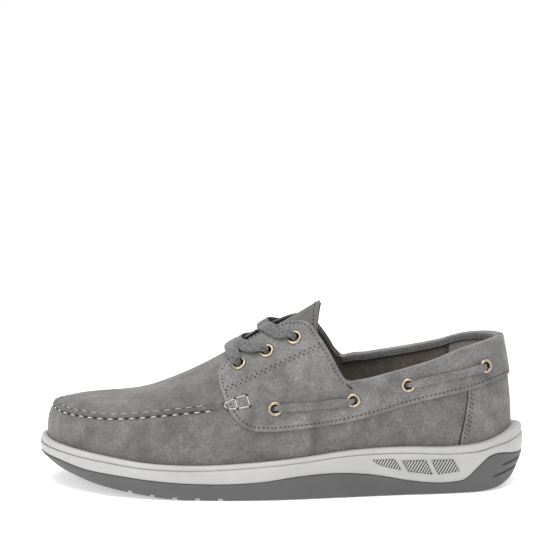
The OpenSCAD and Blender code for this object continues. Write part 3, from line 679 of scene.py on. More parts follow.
@dataclass
class Effects:
    """The effect groups, built once and shared by the finishes."""

    mottle: bpy.types.NodeTree = field(default_factory=mottle_group)
    nap: bpy.types.NodeTree = field(default_factory=nap_group)
    weave: bpy.types.NodeTree = field(default_factory=weave_group)


Colour = tuple[float, float, float, float]


class Paint(Graph):
    """A new node material: its graph, its Principled shader and its Object coordinates."""

    def __init__(self, name: str) -> None:
        """Makes the material.

        Args:
            name: its name.
        """
        self.material = bpy.data.materials.new(name)
        self.material.use_nodes = True
        super().__init__(self.material.node_tree)
        self.shader = self.tree.nodes["Principled BSDF"]
        self.place = self.node("TexCoord").outputs["Object"]

    def shade(self, values: dict) -> bpy.types.Material:
        """Feeds the shader's named sockets.

        Args:
            values: a number, colour or socket for each.

        Returns:
            The material.
        """
        for key, value in values.items():
            self.feed(self.shader.inputs[key], value)
        return self.material

    def bump(self, height: bpy.types.NodeSocket, strength: float, distance: float) -> bpy.types.NodeSocket:
        """The normal of a surface raised by a height, distance in metres."""
        wanted = {"Height": height, "Strength": strength, "Distance": distance}
        return self.node("Bump", wanted).outputs["Normal"]


def grey(value: float, warm: float = 0.0) -> Colour:
    """A grey with a little red added and blue taken away by warm."""
    return (value * (1 + warm), value, value * (1 - warm), 1.0)


@dataclass(frozen=True)
class Nubuck:
    """Buffed grey leather with cloudy tone, a short nap and faint scuffs."""

    name: str
    dark: Colour = grey(0.103, 0.033)
    light: Colour = grey(0.213, 0.03)
    bump: float = 0.10
    broad: float = 45.0
    nap_shade: Colour = grey(0.06, 0.03)
    scuffed: Colour = grey(0.34)

    def build(self, effects: Effects) -> bpy.types.Material:
        """Makes the material.

        Args:
            effects: the shared effect groups.

        Returns:
            The material.
        """
        paint = Paint(self.name)
        clouds = paint.group(effects.mottle, {"Vector": paint.place, "Broad": self.broad})
        nap = paint.group(effects.nap, {"Vector": paint.place, "Scale": 750.0})
        tone = paint.mix(clouds["Clouds"], self.dark, self.light)
        grain = paint.mix(paint.remap(nap["Tone"], 0.15, 0.85, 0.0, 0.62), tone, self.nap_shade)
        fleck = paint.mix(paint.math("MULTIPLY", clouds["Scuffs"], 0.22), grain, self.scuffed)
        return paint.shade({
            "Base Color": fleck, "Roughness": paint.remap(clouds["Clouds"], 0, 1, 0.92, 0.8),
            "Normal": paint.bump(nap["Height"], self.bump, 0.0006),
            "Sheen Weight": 0.18, "Sheen Roughness": 0.5, "Specular IOR Level": 0.25})


@dataclass(frozen=True)
class Moulded:
    """Moulded rubber or foam: nearly even, with a very fine pebble and faint handling marks."""

    name: str
    tone: Colour
    deeper: Colour
    roughness: float
    pebble: float = 0.05

    def build(self, effects: Effects) -> bpy.types.Material:
        """Makes the material.

        Args:
            effects: the shared effect groups.

        Returns:
            The material.
        """
        paint = Paint(self.name)
        clouds = paint.group(effects.mottle, {"Vector": paint.place, "Broad": 30.0, "Small": 110.0})
        nap = paint.group(effects.nap, {"Vector": paint.place, "Scale": 1100.0})
        return paint.shade({
            "Base Color": paint.mix(clouds["Clouds"], self.tone, self.deeper),
            "Roughness": paint.remap(nap["Tone"], 0, 1, self.roughness - 0.06, self.roughness + 0.08),
            "Normal": paint.bump(nap["Height"], self.pebble, 0.0004)})


@dataclass(frozen=True)
class Pile:
    """Brushed lining cloth: soft, warm and dark, with a deep short pile."""

    name: str
    dark: Colour
    light: Colour

    def build(self, effects: Effects) -> bpy.types.Material:
        """Makes the material.

        Args:
            effects: the shared effect groups.

        Returns:
            The material.
        """
        paint = Paint(self.name)
        clouds = paint.group(effects.mottle, {"Vector": paint.place, "Broad": 90.0, "Small": 420.0})
        nap = paint.group(effects.nap, {"Vector": paint.place, "Scale": 1000.0})
        both = paint.math("ADD", paint.math("MULTIPLY", clouds["Clouds"], 0.45),
                          paint.math("MULTIPLY", nap["Tone"], 0.55))
        return paint.shade({
            "Base Color": paint.mix(both, self.dark, self.light),
            "Normal": paint.bump(nap["Height"], 0.35, 0.0008), "Roughness": 0.95, "Sheen Weight": 0.3})


@dataclass(frozen=True)
class Braid:
    """Flat woven cotton lace in mixed greys, which reads its own UV map."""

    name: str
    dark: Colour = grey(0.006)
    light: Colour = grey(0.15)

    def build(self, effects: Effects) -> bpy.types.Material:
        """Makes the material.

        Args:
            effects: the shared effect groups.

        Returns:
            The material.
        """
        paint = Paint(self.name)
        along = paint.node("UVMap", uv_map="along").outputs["UV"]
        weave = paint.group(effects.weave, {"Vector": along})
        share = paint.math("ADD", paint.math("MULTIPLY", weave["Ribs"], 0.3),
                           paint.math("MULTIPLY", weave["Fibre"], 0.7))
        height = paint.math("ADD", weave["Ribs"], paint.math("MULTIPLY", weave["Fibre"], 0.4))
        return paint.shade({
            "Base Color": paint.mix(share, self.dark, self.light),
            "Normal": paint.bump(height, 0.6, 0.0003), "Roughness": 0.92, "Sheen Weight": 0.35})


@dataclass(frozen=True)
class Thread:
    """Twisted sewing thread."""

    name: str
    tone: Colour

    def build(self, effects: Effects) -> bpy.types.Material:
        """Makes the material.

        Args:
            effects: the shared effect groups.

        Returns:
            The material.
        """
        paint = Paint(self.name)
        nap = paint.group(effects.nap, {"Vector": paint.place, "Scale": 2600.0})
        deeper = tuple(0.6 * c for c in self.tone[:3]) + (1.0,)
        return paint.shade({
            "Base Color": paint.mix(nap["Tone"], self.tone, deeper),
            "Normal": paint.bump(nap["Height"], 0.3, 0.0002), "Roughness": 0.8})


@dataclass(frozen=True)
class Metal:
    """Plated metal with a soft wear in its tone."""

    name: str
    tone: Colour
    worn: Colour
    roughness: float

    def build(self, effects: Effects) -> bpy.types.Material:
        """Makes the material.

        Args:
            effects: the shared effect groups.

        Returns:
            The material.
        """
        paint = Paint(self.name)
        clouds = paint.group(effects.mottle, {"Vector": paint.place, "Broad": 300.0, "Small": 900.0})
        return paint.shade({
            "Base Color": paint.mix(clouds["Clouds"], self.tone, self.worn),
            "Roughness": paint.remap(clouds["Clouds"], 0, 1, self.roughness, self.roughness + 0.12),
            "Metallic": 1.0})


@dataclass
class Finishes:
    """Every material of the shoe, by its plain name."""

    effects: Effects = field(default_factory=Effects)
    made: dict = field(default_factory=dict)

    def __post_init__(self) -> None:
        """Builds the materials."""
        kinds = (
            Nubuck("nubuck"),
            Nubuck("nubuck_saddle", dark=grey(0.125, 0.03), light=grey(0.262, 0.026), broad=38.0),
            Nubuck("nubuck_rolled", dark=grey(0.085), light=grey(0.17)),
            # The dark edge finish: the raw edge's own dark, deepened to paint the shade that lies along and
            # under leather edges.
            Nubuck("cut_edge_and_shade", dark=grey(0.022), light=grey(0.045), bump=0.05),
            Nubuck("binding_leather", dark=grey(0.15, 0.03), light=grey(0.23, 0.03)),
            Moulded("foam", grey(0.43, 0.01), grey(0.385, 0.01), 0.55),
            Moulded("rubber", grey(0.088), grey(0.073), 0.55, 0.08),
            Moulded("vent_shadow", grey(0.022), grey(0.016), 0.6),
            Pile("lining", grey(0.045, 0.2), grey(0.19, 0.16)),
            Pile("heel_lining", grey(0.15, 0.11), grey(0.36, 0.1)),
            Pile("footbed", grey(0.03, 0.08), grey(0.08, 0.08)),
            Pile("board", grey(0.3, 0.12), grey(0.45, 0.12)),
            # Dark fibre for facings, toe puff and stiffener, kept dark so that the gaps which show them read
            # as painted shade.
            Pile("dark_fibre_and_gap_shade", grey(0.02, 0.05), grey(0.05, 0.05)),
            Pile("tongue_back", grey(0.015, 0.1), grey(0.05, 0.1)),
            Braid("lace"),
            # Dark thread, also set sunk into stitch and thread holes as painted shade.
            Thread("dark_thread_and_hole_shade", grey(0.018)),
            Thread("pale_thread", grey(0.62, 0.05)),
            Thread("grey_thread", grey(0.43, 0.03)),
            Metal("antique_brass", (0.58, 0.49, 0.37, 1), (0.36, 0.29, 0.21, 1), 0.26),
            Metal("steel", grey(0.55), grey(0.4), 0.35),
            Moulded("aglet_sleeve", grey(0.09), grey(0.06), 0.25),
        )
        for kind in kinds:
            self.made[kind.name] = kind.build(self.effects)

    def dress(self, piece: bpy.types.Object, *names: str) -> None:
        """Gives a piece its materials, one a slot.

        Args:
            piece: the piece.
            *names: their names, in the slots' order.
        """
        piece.data.materials.clear()
        for name in names:
            piece.data.materials.append(self.made[name])


@dataclass
class Workshop:
    """Finishes pieces: material, body and the CAD nodes that they stand for."""

    finishes: Finishes

    def place(self, piece: bpy.types.Object, materials: Sequence[str], slot: Optional[str],
              body: Body = Body.SHOE, replaces: Sequence[str] = ()) -> bpy.types.Object:
        """Dresses a piece and joins it to the frame.

        Args:
            piece: the new piece.
            materials: its finishes, one a material slot.
            slot: the record's material slot, or None for thread, which has none; not used.
            body: the CAD body that it moves with.
            replaces: CAD nodes that it stands for.

        Returns:
            The piece.
        """
        self.finishes.dress(piece, *materials)
        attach(piece, body.value)
        if replaces:
            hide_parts(*replaces)
        log.info("%s: %d faces, rides %s", piece.name, len(piece.data.polygons), body.value)
        return piece

    def keep(self, node: str, material: str) -> None:
        """Shows a CAD node as it is, in a better material."""
        self.finishes.dress(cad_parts[node], material)


# ---------------------------------------------------------------- stitching


@dataclass(frozen=True)
class Stitch:
    """One kind of stitch, in millimetres."""

    pitch: float = 2.8
    length: float = 1.5
    radius: float = 0.27
    proud: float = 0.05
    phase: float = 0.0

    def capsule(self) -> tuple[Array, Array]:
        """A round-ended stitch whose middle stands proud: rings of radius r sqrt(1 - x^4) along x.

        Returns:
            Points and faces of one stitch, along X with Z up.
        """
        x = np.array([-0.97, -0.8, -0.35, 0.35, 0.8, 0.97])
        ring = np.sqrt(1 - x**4) * self.radius
        turn = 2 * math.pi * np.arange(6) / 6
        bow = self.radius * 0.8 * (1 - x**2)
        points = np.stack([
            np.repeat(x * self.length / 2, 6),
            (ring[:, None] * np.cos(turn)).ravel(),
            (ring[:, None] * np.sin(turn) + bow[:, None]).ravel()], -1)
        return loft(points.reshape(6, 6, 3))

    def row(self, line: Array, normals: Array) -> tuple[Array, Array]:
        """A row of stitches along a line.

        Args:
            line: points that the row follows, on the leather's face.
            normals: the leather's normal at each.

        Returns:
            Points and faces of all the stitches.
        """
        spots, place = spaced(line, self.pitch / 4)
        keep = slice(int(round(self.phase * 4)) % 4, None, 4)
        along = unit(np.gradient(spots, axis=0))[keep]
        spots, up = spots[keep], unit(read_rows(normals, place[keep]))
        across = unit(np.cross(up, along))
        up = np.cross(along, across)
        shape, faces = self.capsule()
        points = (spots[:, None] + along[:, None] * shape[None, :, :1] + across[:, None] * shape[None, :, 1:2]
                  + up[:, None] * (shape[None, :, 2:] + self.proud))
        shifted = faces[None] + (np.arange(len(spots)) * len(shape))[:, None, None]
        return points.reshape(-1, 3), shifted.reshape(-1, 4)


def join(parts: Sequence[tuple[Array, Array]]) -> tuple[Array, Array]:
    """Several point and face lists as one."""
    starts = np.cumsum([0] + [len(p) for p, _ in parts[:-1]])
    return np.concatenate([p for p, _ in parts]), np.concatenate([f + s for (_, f), s in zip(parts, starts)])


def inset_line(line: Array, normals: Array, distance: float) -> Array:
    """A line moved sideways over the surface: along the cross product of its normal and its direction."""
    return line + unit(np.cross(normals, np.gradient(line, axis=0))) * distance


# ---------------------------------------------------------------- grids on the last


def panel(laps: Array, low: Callable, top: Callable, cols: int, skirt: float = 0.0,
          bow: float = 0.0) -> Array:
    """A grid from the share low(s) up to top(s); its skirt hangs below the feather.

    Args:
        laps: one a row.
        low: the lower edge's share at each station.
        top: the upper edge's share.
        cols: strips between the edges.
        skirt: depth below the feather, in millimetres.
        bow: how far rows near the heel's seam bend towards the toe at their foot, as a lap.

    Returns:
        Rows by columns of points.
    """
    s = LAST.station(laps)
    t = np.linspace(0, 1, cols + 1)
    share = blend(low(s)[:, None], top(s)[:, None], t)
    if skirt:
        share = np.concatenate([np.full((len(s), 1), -skirt), np.full((len(s), 1), -skirt / 2), share], 1)
        t = np.concatenate([[0, 0], t])
    side = np.where(np.mod(laps, 1) <= 0.5, 1, -1)
    near = smooth_step(1 - np.abs(np.abs(np.mod(laps + 0.5, 1) - 0.5) - COUNTER_LAP) / 0.06)
    return LAST.skin(laps[:, None] - (side * near)[:, None] * bow * (1 - t) ** 2.2, share)


def cap(laps: Array, edge: Callable, half: int, skirt: float = 0.0, tuck: float = 0.0,
        drop: Optional[Callable] = None) -> Array:
    """A grid across the foot, from edge(s) on the outer side over the ridge to edge(s) on the inner one.

    Args:
        laps: one a row, on the outer side.
        edge: the share of both edges at each station.
        half: strips from an edge to the ridge.
        skirt: depth that both edges hang below the feather.
        tuck: how far the section's foot moves inwards.
        drop: how far the ridge is lowered, from a station and a distance from the ridge of 0 to 1.

    Returns:
        Rows by columns of points.
    """
    s = LAST.station(laps)
    t = np.abs(np.linspace(-1, 1, 2 * half + 1))
    side = np.where(np.arange(2 * half + 1) <= half, 1, -1)
    share = 1 - (1 - edge(s))[:, None] * t
    if skirt:
        hang = np.full((len(s), 1), -skirt)
        share, side = np.concatenate([hang, share, hang], 1), np.concatenate([[1], side, [-1]])
        t = np.concatenate([[1], t, [1]])
    lowered = 0.0 if drop is None else drop(s[:, None], t[None, :])
    return LAST.skin(laps[:, None] * side, share, tuck, lowered)


def at_height(line: Points) -> Callable:
    """The share, at each station, of a drawn line."""
    return lambda s: LAST.share(s, smooth_curve(line, s))


def topline(s: Array, side: Side) -> Array:
    """Height of a quarter's top edge, which runs higher on the inner side."""
    rise = smooth_curve(INNER_RISE, s) if side is Side.INNER else 0.0
    return smooth_curve(QUARTER_TOP, s) + rise


def under_topline(side: Side, depth: float = 0.0) -> Callable:
    """The share, at each station, of a line that runs at a depth under a quarter's top edge."""
    return lambda s: LAST.share(s, topline(s, side) - depth)


def seam_room(s: Array) -> Array:
    """Room for half the rolled seam: 1.55 mm over the surface's own rise with the share.

    Args:
        s: stations.

    Returns:
        The room at each, as a share.
    """
    lap, share = LAST.lap(s), at_height(SEAM)(s)
    rise = np.linalg.norm(LAST.skin(lap, share + 0.02) - LAST.skin(lap, share - 0.02), axis=-1)
    return 1.55 * 0.04 / rise


def plug_edge(s: Array) -> Array:
    """The plug's edge, over the rolled seam, as a share."""
    return at_height(SEAM)(s) + seam_room(s)


def vamp_top(s: Array) -> Array:
    """The vamp's upper edge: under the rolled seam in front, then tucked under the quarter.

    Args:
        s: stations.

    Returns:
        The edge's share at each.
    """
    front = at_height(SEAM)(s) - seam_room(s)
    tuck = smooth_step((s - SEAM_END) / 16)
    height = blend(smooth_curve(SEAM, s), smooth_curve(QUARTER_LOW, s) + 5, tuck)
    return np.where(s < SEAM_END, front, LAST.share(s, height) - seam_room(np.array([SEAM_END])))


def feather(s: Array) -> Array:
    """A share of 0 at every station."""
    return np.zeros_like(s)


def on_side(laps: Array, side: Side) -> Array:
    """Laps of the outer side as they are, or mirrored to the inner side in their own order."""
    return laps if side is Side.OUTER else -laps[::-1]


def lap_at(station: float) -> float:
    """The lap on the outer side at one station."""
    return float(LAST.lap(np.array([station]))[0])


# Where the heel's seam stands, the outline's length in millimetres, and the laps of the rolled seam
COUNTER = 115.0
COUNTER_LAP = lap_at(COUNTER)
OUTLINE_LENGTH = 684
ROLL_LAPS = np.linspace(-0.2185, 0.2185, 440)
BOTH_SIDES = (Side.OUTER, Side.INNER)


def stack(rings: Array) -> tuple[Array, Array]:
    """A solid through closed rings, whose two ends are closed by strips straight across the foot.

    Args:
        rings: rings by points by 3, each with its first point at the toe.

    Returns:
        Points and quads.
    """
    layers, count = rings.shape[:2]
    name = np.arange(layers * count).reshape(layers, count)
    after = np.roll(name, -1, 1)
    walls = np.stack([name[:-1], after[:-1], after[1:], name[1:]], -1).reshape(-1, 4)
    k = np.arange(count // 2)
    across = np.stack([k, (count - k) % count, count - k - 1, k + 1], -1)
    return rings.reshape(-1, 3), np.concatenate([walls, across, across[:, ::-1] + (layers - 1) * count])


def cut_holes(piece: bpy.types.Object, spots: Array, normals: Array, radius: float) -> None:
    """Drills round holes through a piece, and gives their walls its second material.

    Args:
        piece: the piece, whose mesh is changed.
        spots: the holes' centres.
        normals: the way that each is drilled.
        radius: their radius.
    """
    turn = 2 * math.pi * np.arange(36) / 36
    tilt = unit(np.cross([[0, 0, 1.0]], normals))
    other = np.cross(normals, tilt)
    cos, sin = np.cos(turn)[None, :, None], np.sin(turn)[None, :, None]
    rings = spots[:, None] + radius * (tilt[:, None] * cos + other[:, None] * sin)
    reach = 5 * normals[:, None]
    drills = [loft(np.stack(ends)) for ends in zip(rings - reach, rings + reach)]
    points, faces = join(drills)
    drill = make_mesh(piece.name + "_drill", points, faces, np.ones(len(faces), int))
    change = piece.modifiers.new("holes", "BOOLEAN")
    change.object, change.solver, change.operation = drill, "EXACT", "DIFFERENCE"
    seen = piece.evaluated_get(bpy.context.evaluated_depsgraph_get())
    fresh = bpy.data.meshes.new_from_object(seen)
    piece.modifiers.remove(change)
    piece.data = fresh
    fresh.polygons.foreach_set("use_smooth", np.ones(len(fresh.polygons), bool))
    bpy.data.objects.remove(drill)


# ---------------------------------------------------------------- sole

GROUND: Points = ((-150, 14.5), (-143, 12), (-135, 10.5), (-122, 8), (-97, 4), (-85, 2.5), (-73, 1), (-58, 0))
HEEL_GROUND: Points = ((118, 0), (127, 0.5), (134, 1.5), (140, 3.5), (146, 7), (150, 11.5))
BAND: Points = (
    (-150, 20.5), (-139, 20), (-122, 17), (-97, 14.5), (-60, 11.5), (-36, 11), (-12, 12), (12, 15), (35, 16),
    (54, 14.5), (78, 10), (90, 8.5), (104, 8.5), (112, 10), (121, 18), (125, 21.5), (150, 21.5))


@dataclass
class Sole:
    """The foam cupsole, the rubber outsole under it and the hatched windows near the heel."""

    shop: Workshop
    grooves: tuple = tuple(-91 + 13.7 * k for k in range(5))
    groove_width: float = 3.0
    groove_depth: float = 1.4
    cup_floor: float = -5.25
    rubber_in: float = 0.4
    rib_pitch: float = 1.85
    rib_width: float = 0.9
    welt: Points = ((-150, 1.0), (-110, 0.82), (-60, 0.68), (40, 0.72), (100, 0.95), (150, 1.1))
    undercut: Points = ((-150, 6), (-132, 4), (-105, 1), (-85, 0), (110, 0), (135, 1.5), (150, 3))
    # The sidewall's section: inset, share of the way from band to feather, and drop in welt sizes
    wall: tuple = (
        (2.4, 0, 0.0), (1.1, 0, 0.0), (0.75, 0, -0.5), (0.45, 0.08, 0), (0.15, 0.2, 0), (0, 0.42, 0),
        (0.05, 0.6, 0), (0.25, 0.8, 2), (0.42, 1, 5.4), (0.5, 1, 4.75), (0.75, 1, 4.5), (1.5, 1, 4.35),
        (1.5, 1, 4.1), (0.9, 1, 3.95), (0.66, 1, 3.6), (0.56, 1, 2.9), (0.62, 1, 1.8), (0.8, 1, 0.8),
        (1.15, 1, 0.25), (1.7, 1, 0.03))
    windows: tuple = (
        ((59.5, 20.5), (72.5, 17), 23.5), ((77, 16), (91.5, 14), 22.5), ((95, 14), (108, 15.5), 22.5))
    window_lean: float = 4.0
    heel_lines: tuple = (((134, 16.5), (150, 18.5)), ((128, 10), (150, 14)))
    line_cut: float = 1.1
    line_half: float = 0.6
    half: Array = field(init=False)
    laps: Array = field(init=False)
    s: Array = field(init=False)

    def __post_init__(self) -> None:
        """Places the laps evenly, with two more at each side of every groove."""
        edges = [g + k * self.groove_width / 2 for g in self.grooves for k in (-1.08, -0.92, 0.92, 1.08)]
        half = np.unique(np.round(np.concatenate([np.linspace(0, 0.5, 241), LAST.lap(np.array(edges))]), 6))
        self.half = half
        self.laps = np.concatenate([half, 1 - half[-2:0:-1]])
        self.s = LAST.station(self.laps)

    def band(self) -> Array:
        """Height of the line between rubber and foam at every lap."""
        return smooth_curve(BAND, self.s) + LAST.lift

    def ground(self) -> Array:
        """Height of the outsole's underside at every lap."""
        return np.where(self.s < 0, smooth_curve(GROUND, self.s), smooth_curve(HEEL_GROUND, self.s))

    def ring(self, inset: Array, z: Array) -> Array:
        """A closed ring inside the plan by inset, at the height z."""
        xy = LAST.plan(self.laps, np.broadcast_to(inset, self.laps.shape))
        return np.concatenate([xy, np.broadcast_to(z, self.laps.shape)[:, None]], -1)

    def cupsole(self) -> None:
        """The sidewall: a soft bulge, a thin groove, and the rounded welt ridge over it."""
        band, top, welt = self.band(), LAST.feather(self.s), smooth_curve(self.welt, self.s)
        rings = [self.ring(inset, blend(band, top, up) - drop * welt) for inset, up, drop in self.wall]
        lip = smooth_curve(LAST.feather_in, self.s) - 0.3
        rings += [self.ring(lip - 0.4, top), self.ring(lip, top - 0.35), self.ring(lip, top + self.cup_floor)]
        points, quads = stack(np.stack(rings))
        self.shop.place(make_mesh("foam_sidewall", points, quads), ["foam"], "foam", replaces=["cupsole"])

    def outsole(self) -> None:
        """The rubber: tread grooves right across, a rounded foot, and two lines let into the heel's cap."""
        ground, top = self.ground(), self.band() - 0.25
        near = np.min([np.abs(self.s - g) for g in self.grooves], axis=0)
        tread = ground + self.groove_depth * (near < self.groove_width / 2)
        under = smooth_curve(self.undercut, self.s)
        rings = [self.ring(1.1 + under, tread), self.ring(0.6 + under, np.maximum(ground + 0.25, tread))]
        depths = [0 * tread, 0 * tread]
        for up in np.linspace(0.06, 1, 56):
            z = np.maximum(blend(ground + 0.35, top, up), tread)
            inset = self.rubber_in + under * (1 - up) ** 1.6
            line_depth = np.zeros_like(z)
            for line in self.heel_lines:
                (start, low), (end, high) = line
                off = z - blend(low, high, (self.s - start) / (end - start)) - LAST.lift
                cut = self.line_cut * np.exp(-(off / self.line_half) ** 4)
                line_depth = line_depth + cut * smooth_step((self.s - start) / 4)
            rings.append(self.ring(inset + line_depth, z))
            depths.append(line_depth)
        rings.append(self.ring(2.2, top))
        points, quads = stack(np.stack(rings))
        # Faces sunk more than 0.5 mm into the heel's cap take the near-black second finish: painted shade in
        # the lines.
        sunk = np.stack(depths + [0 * tread])[:-1] > 0.5
        kinds = np.concatenate([sunk.ravel(), np.zeros(len(quads) - sunk.size, bool)]).astype(int)
        piece = make_mesh("rubber_outsole", points, quads, kinds)
        self.shop.place(piece, ["rubber", "vent_shadow"], "rubber", replaces=["outsole"])

    def window(self, side: Side) -> None:
        """Three sunk windows crossed by slanted ribs of foam.

        Args:
            side: the side of the sole.
        """
        plates, ribs = [], []
        for low_a, low_b, high in self.windows:
            u, v = np.meshgrid(np.linspace(0, 1, 25), np.linspace(0, 1, 9), indexing="ij")
            plate = self._wall(low_a, low_b, high, u, v, side)
            sheet = Surface.grid(plate if side is Side.OUTER else plate[::-1])
            plates.append(sheet.thick(0.42, 0.05, 4)[:2])
            for start in np.arange(low_a[0] - 10, low_b[0] + 1, self.rib_pitch):
                ribs += self._rib(start, low_a, low_b, high, side)
        # The plate behind the ribs is near black: painted shade in the window's recess.
        points, quads = join(plates)
        plate = make_mesh("window_plate_" + side.word, points, quads)
        self.shop.place(plate, ["vent_shadow"], "rubber", replaces=["vents_" + side.word])
        points, quads = join(ribs)
        self.shop.place(make_mesh("window_ribs_" + side.word, points, quads), ["foam"], "foam")

    def _wall(self, low_a: tuple, low_b: tuple, high: float, u: Array, v: Array, side: Side) -> Array:
        """Points on the sidewall inside a window.

        Args:
            low_a: station and height of the window's front lower corner.
            low_b: the same of its rear lower corner.
            high: height of its upper edge.
            u: shares along it.
            v: shares up it.
            side: the side of the sole.

        Returns:
            The points.
        """
        s = blend(low_a[0], low_b[0], u) - self.window_lean * v
        z = blend(blend(low_a[1], low_b[1], u), high, v) + LAST.lift
        return np.concatenate([LAST.plan(side.value * LAST.lap(s), 0.0 * s), z[..., None]], -1)

    def _rib(self, start: float, low_a: tuple, low_b: tuple, high: float, side: Side) -> list:
        """One rib that leans back as it rises, cut off at the window's four edges.

        Args:
            start: the station of its foot.
            low_a: station and height of the window's front lower corner.
            low_b: the same of its rear lower corner.
            high: height of its upper edge.
            side: the side of the sole.

        Returns:
            The rib's points and quads in a list, which is empty where the rib misses the window.
        """
        z = np.linspace(min(low_a[1], low_b[1]), high, 60)
        s = start + (z - z[0]) * 0.62
        up = np.full(60, 0.5)
        for _ in range(6):
            along = (s + self.window_lean * up - low_a[0]) / (low_b[0] - low_a[0])
            foot = blend(low_a[1], low_b[1], along)
            up = (z - foot) / np.maximum(high - foot, 0.2)
        inside = (up >= 0) & (up <= 1) & (along >= 0) & (along <= 1)
        s, z = s[inside], z[inside]
        if len(s) < 4:
            return []
        lap = side.value * LAST.lap(s)
        flat = LAST.plan(lap, 0.0 * s)
        line = np.concatenate([flat, (z + LAST.lift)[:, None]], -1)
        away = flat - LAST.plan(lap, 0.0 * s + 1)
        up_way = unit(np.concatenate([away, np.zeros((len(s), 1))], -1))
        width, thick = np.full(len(s), self.rib_width), np.full(len(s), 0.6)
        return [sweep(line + up_way * 0.5, up_way, width, thick, 6)[:2]]

    def build(self) -> None:
        """Builds the whole sole."""
        self.cupsole()
        self.outsole()
        for side in BOTH_SIDES:
            self.window(side)
        self.shop.keep("insole_board", "board")
        self.shop.keep("shank", "steel")


@dataclass
class Bedding:
    """The footbed and the padded patch at its heel."""

    shop: Workshop
    inside: float = 3.8
    low: float = -1.2
    pad_front: float = 62.0
    pad_end_lap: float = 0.492

    def build(self) -> None:
        """Builds both, on the cup's own laps."""
        laps = np.linspace(0, 1, 321)[:-1]
        s = LAST.station(laps)
        foot, inset = LAST.feather(s), smooth_curve(LAST.feather_in, s) + self.inside
        profile = ((0.0, self.low), (0.0, FLOOR - 0.8), (0.2, FLOOR - 0.25), (0.8, FLOOR), (2.5, FLOOR))
        rings = [np.concatenate([LAST.plan(laps, inset + d), (foot + z)[:, None]], -1) for d, z in profile]
        points, quads = stack(np.stack(rings))
        bed = make_mesh("footbed_cover", points, quads)
        self.shop.place(bed, ["footbed"], "footbed", replaces=["footbed"])
        half = np.linspace(lap_at(self.pad_front), self.pad_end_lap, 60)
        s = LAST.station(half)
        edge = smooth_curve(LAST.feather_in, s) + self.inside + 5
        across = np.linspace(0, 1, 25)[None, :, None]
        flat = blend(LAST.plan(half, edge)[:, None], LAST.plan(-half, edge)[:, None], across)
        height = np.broadcast_to((LAST.feather(s) + FLOOR + 0.25)[:, None, None], flat.shape[:2] + (1,))
        pad = Surface.grid(np.concatenate([flat, height], -1))
        points, quads, _ = pad.thick(1.2, 0.0, 6)
        cushion = make_mesh("heel_pad_cover", points, quads)
        self.shop.place(cushion, ["nubuck_rolled"], "footbed_leather", replaces=["heel_pad"])


# ---------------------------------------------------------------- upper


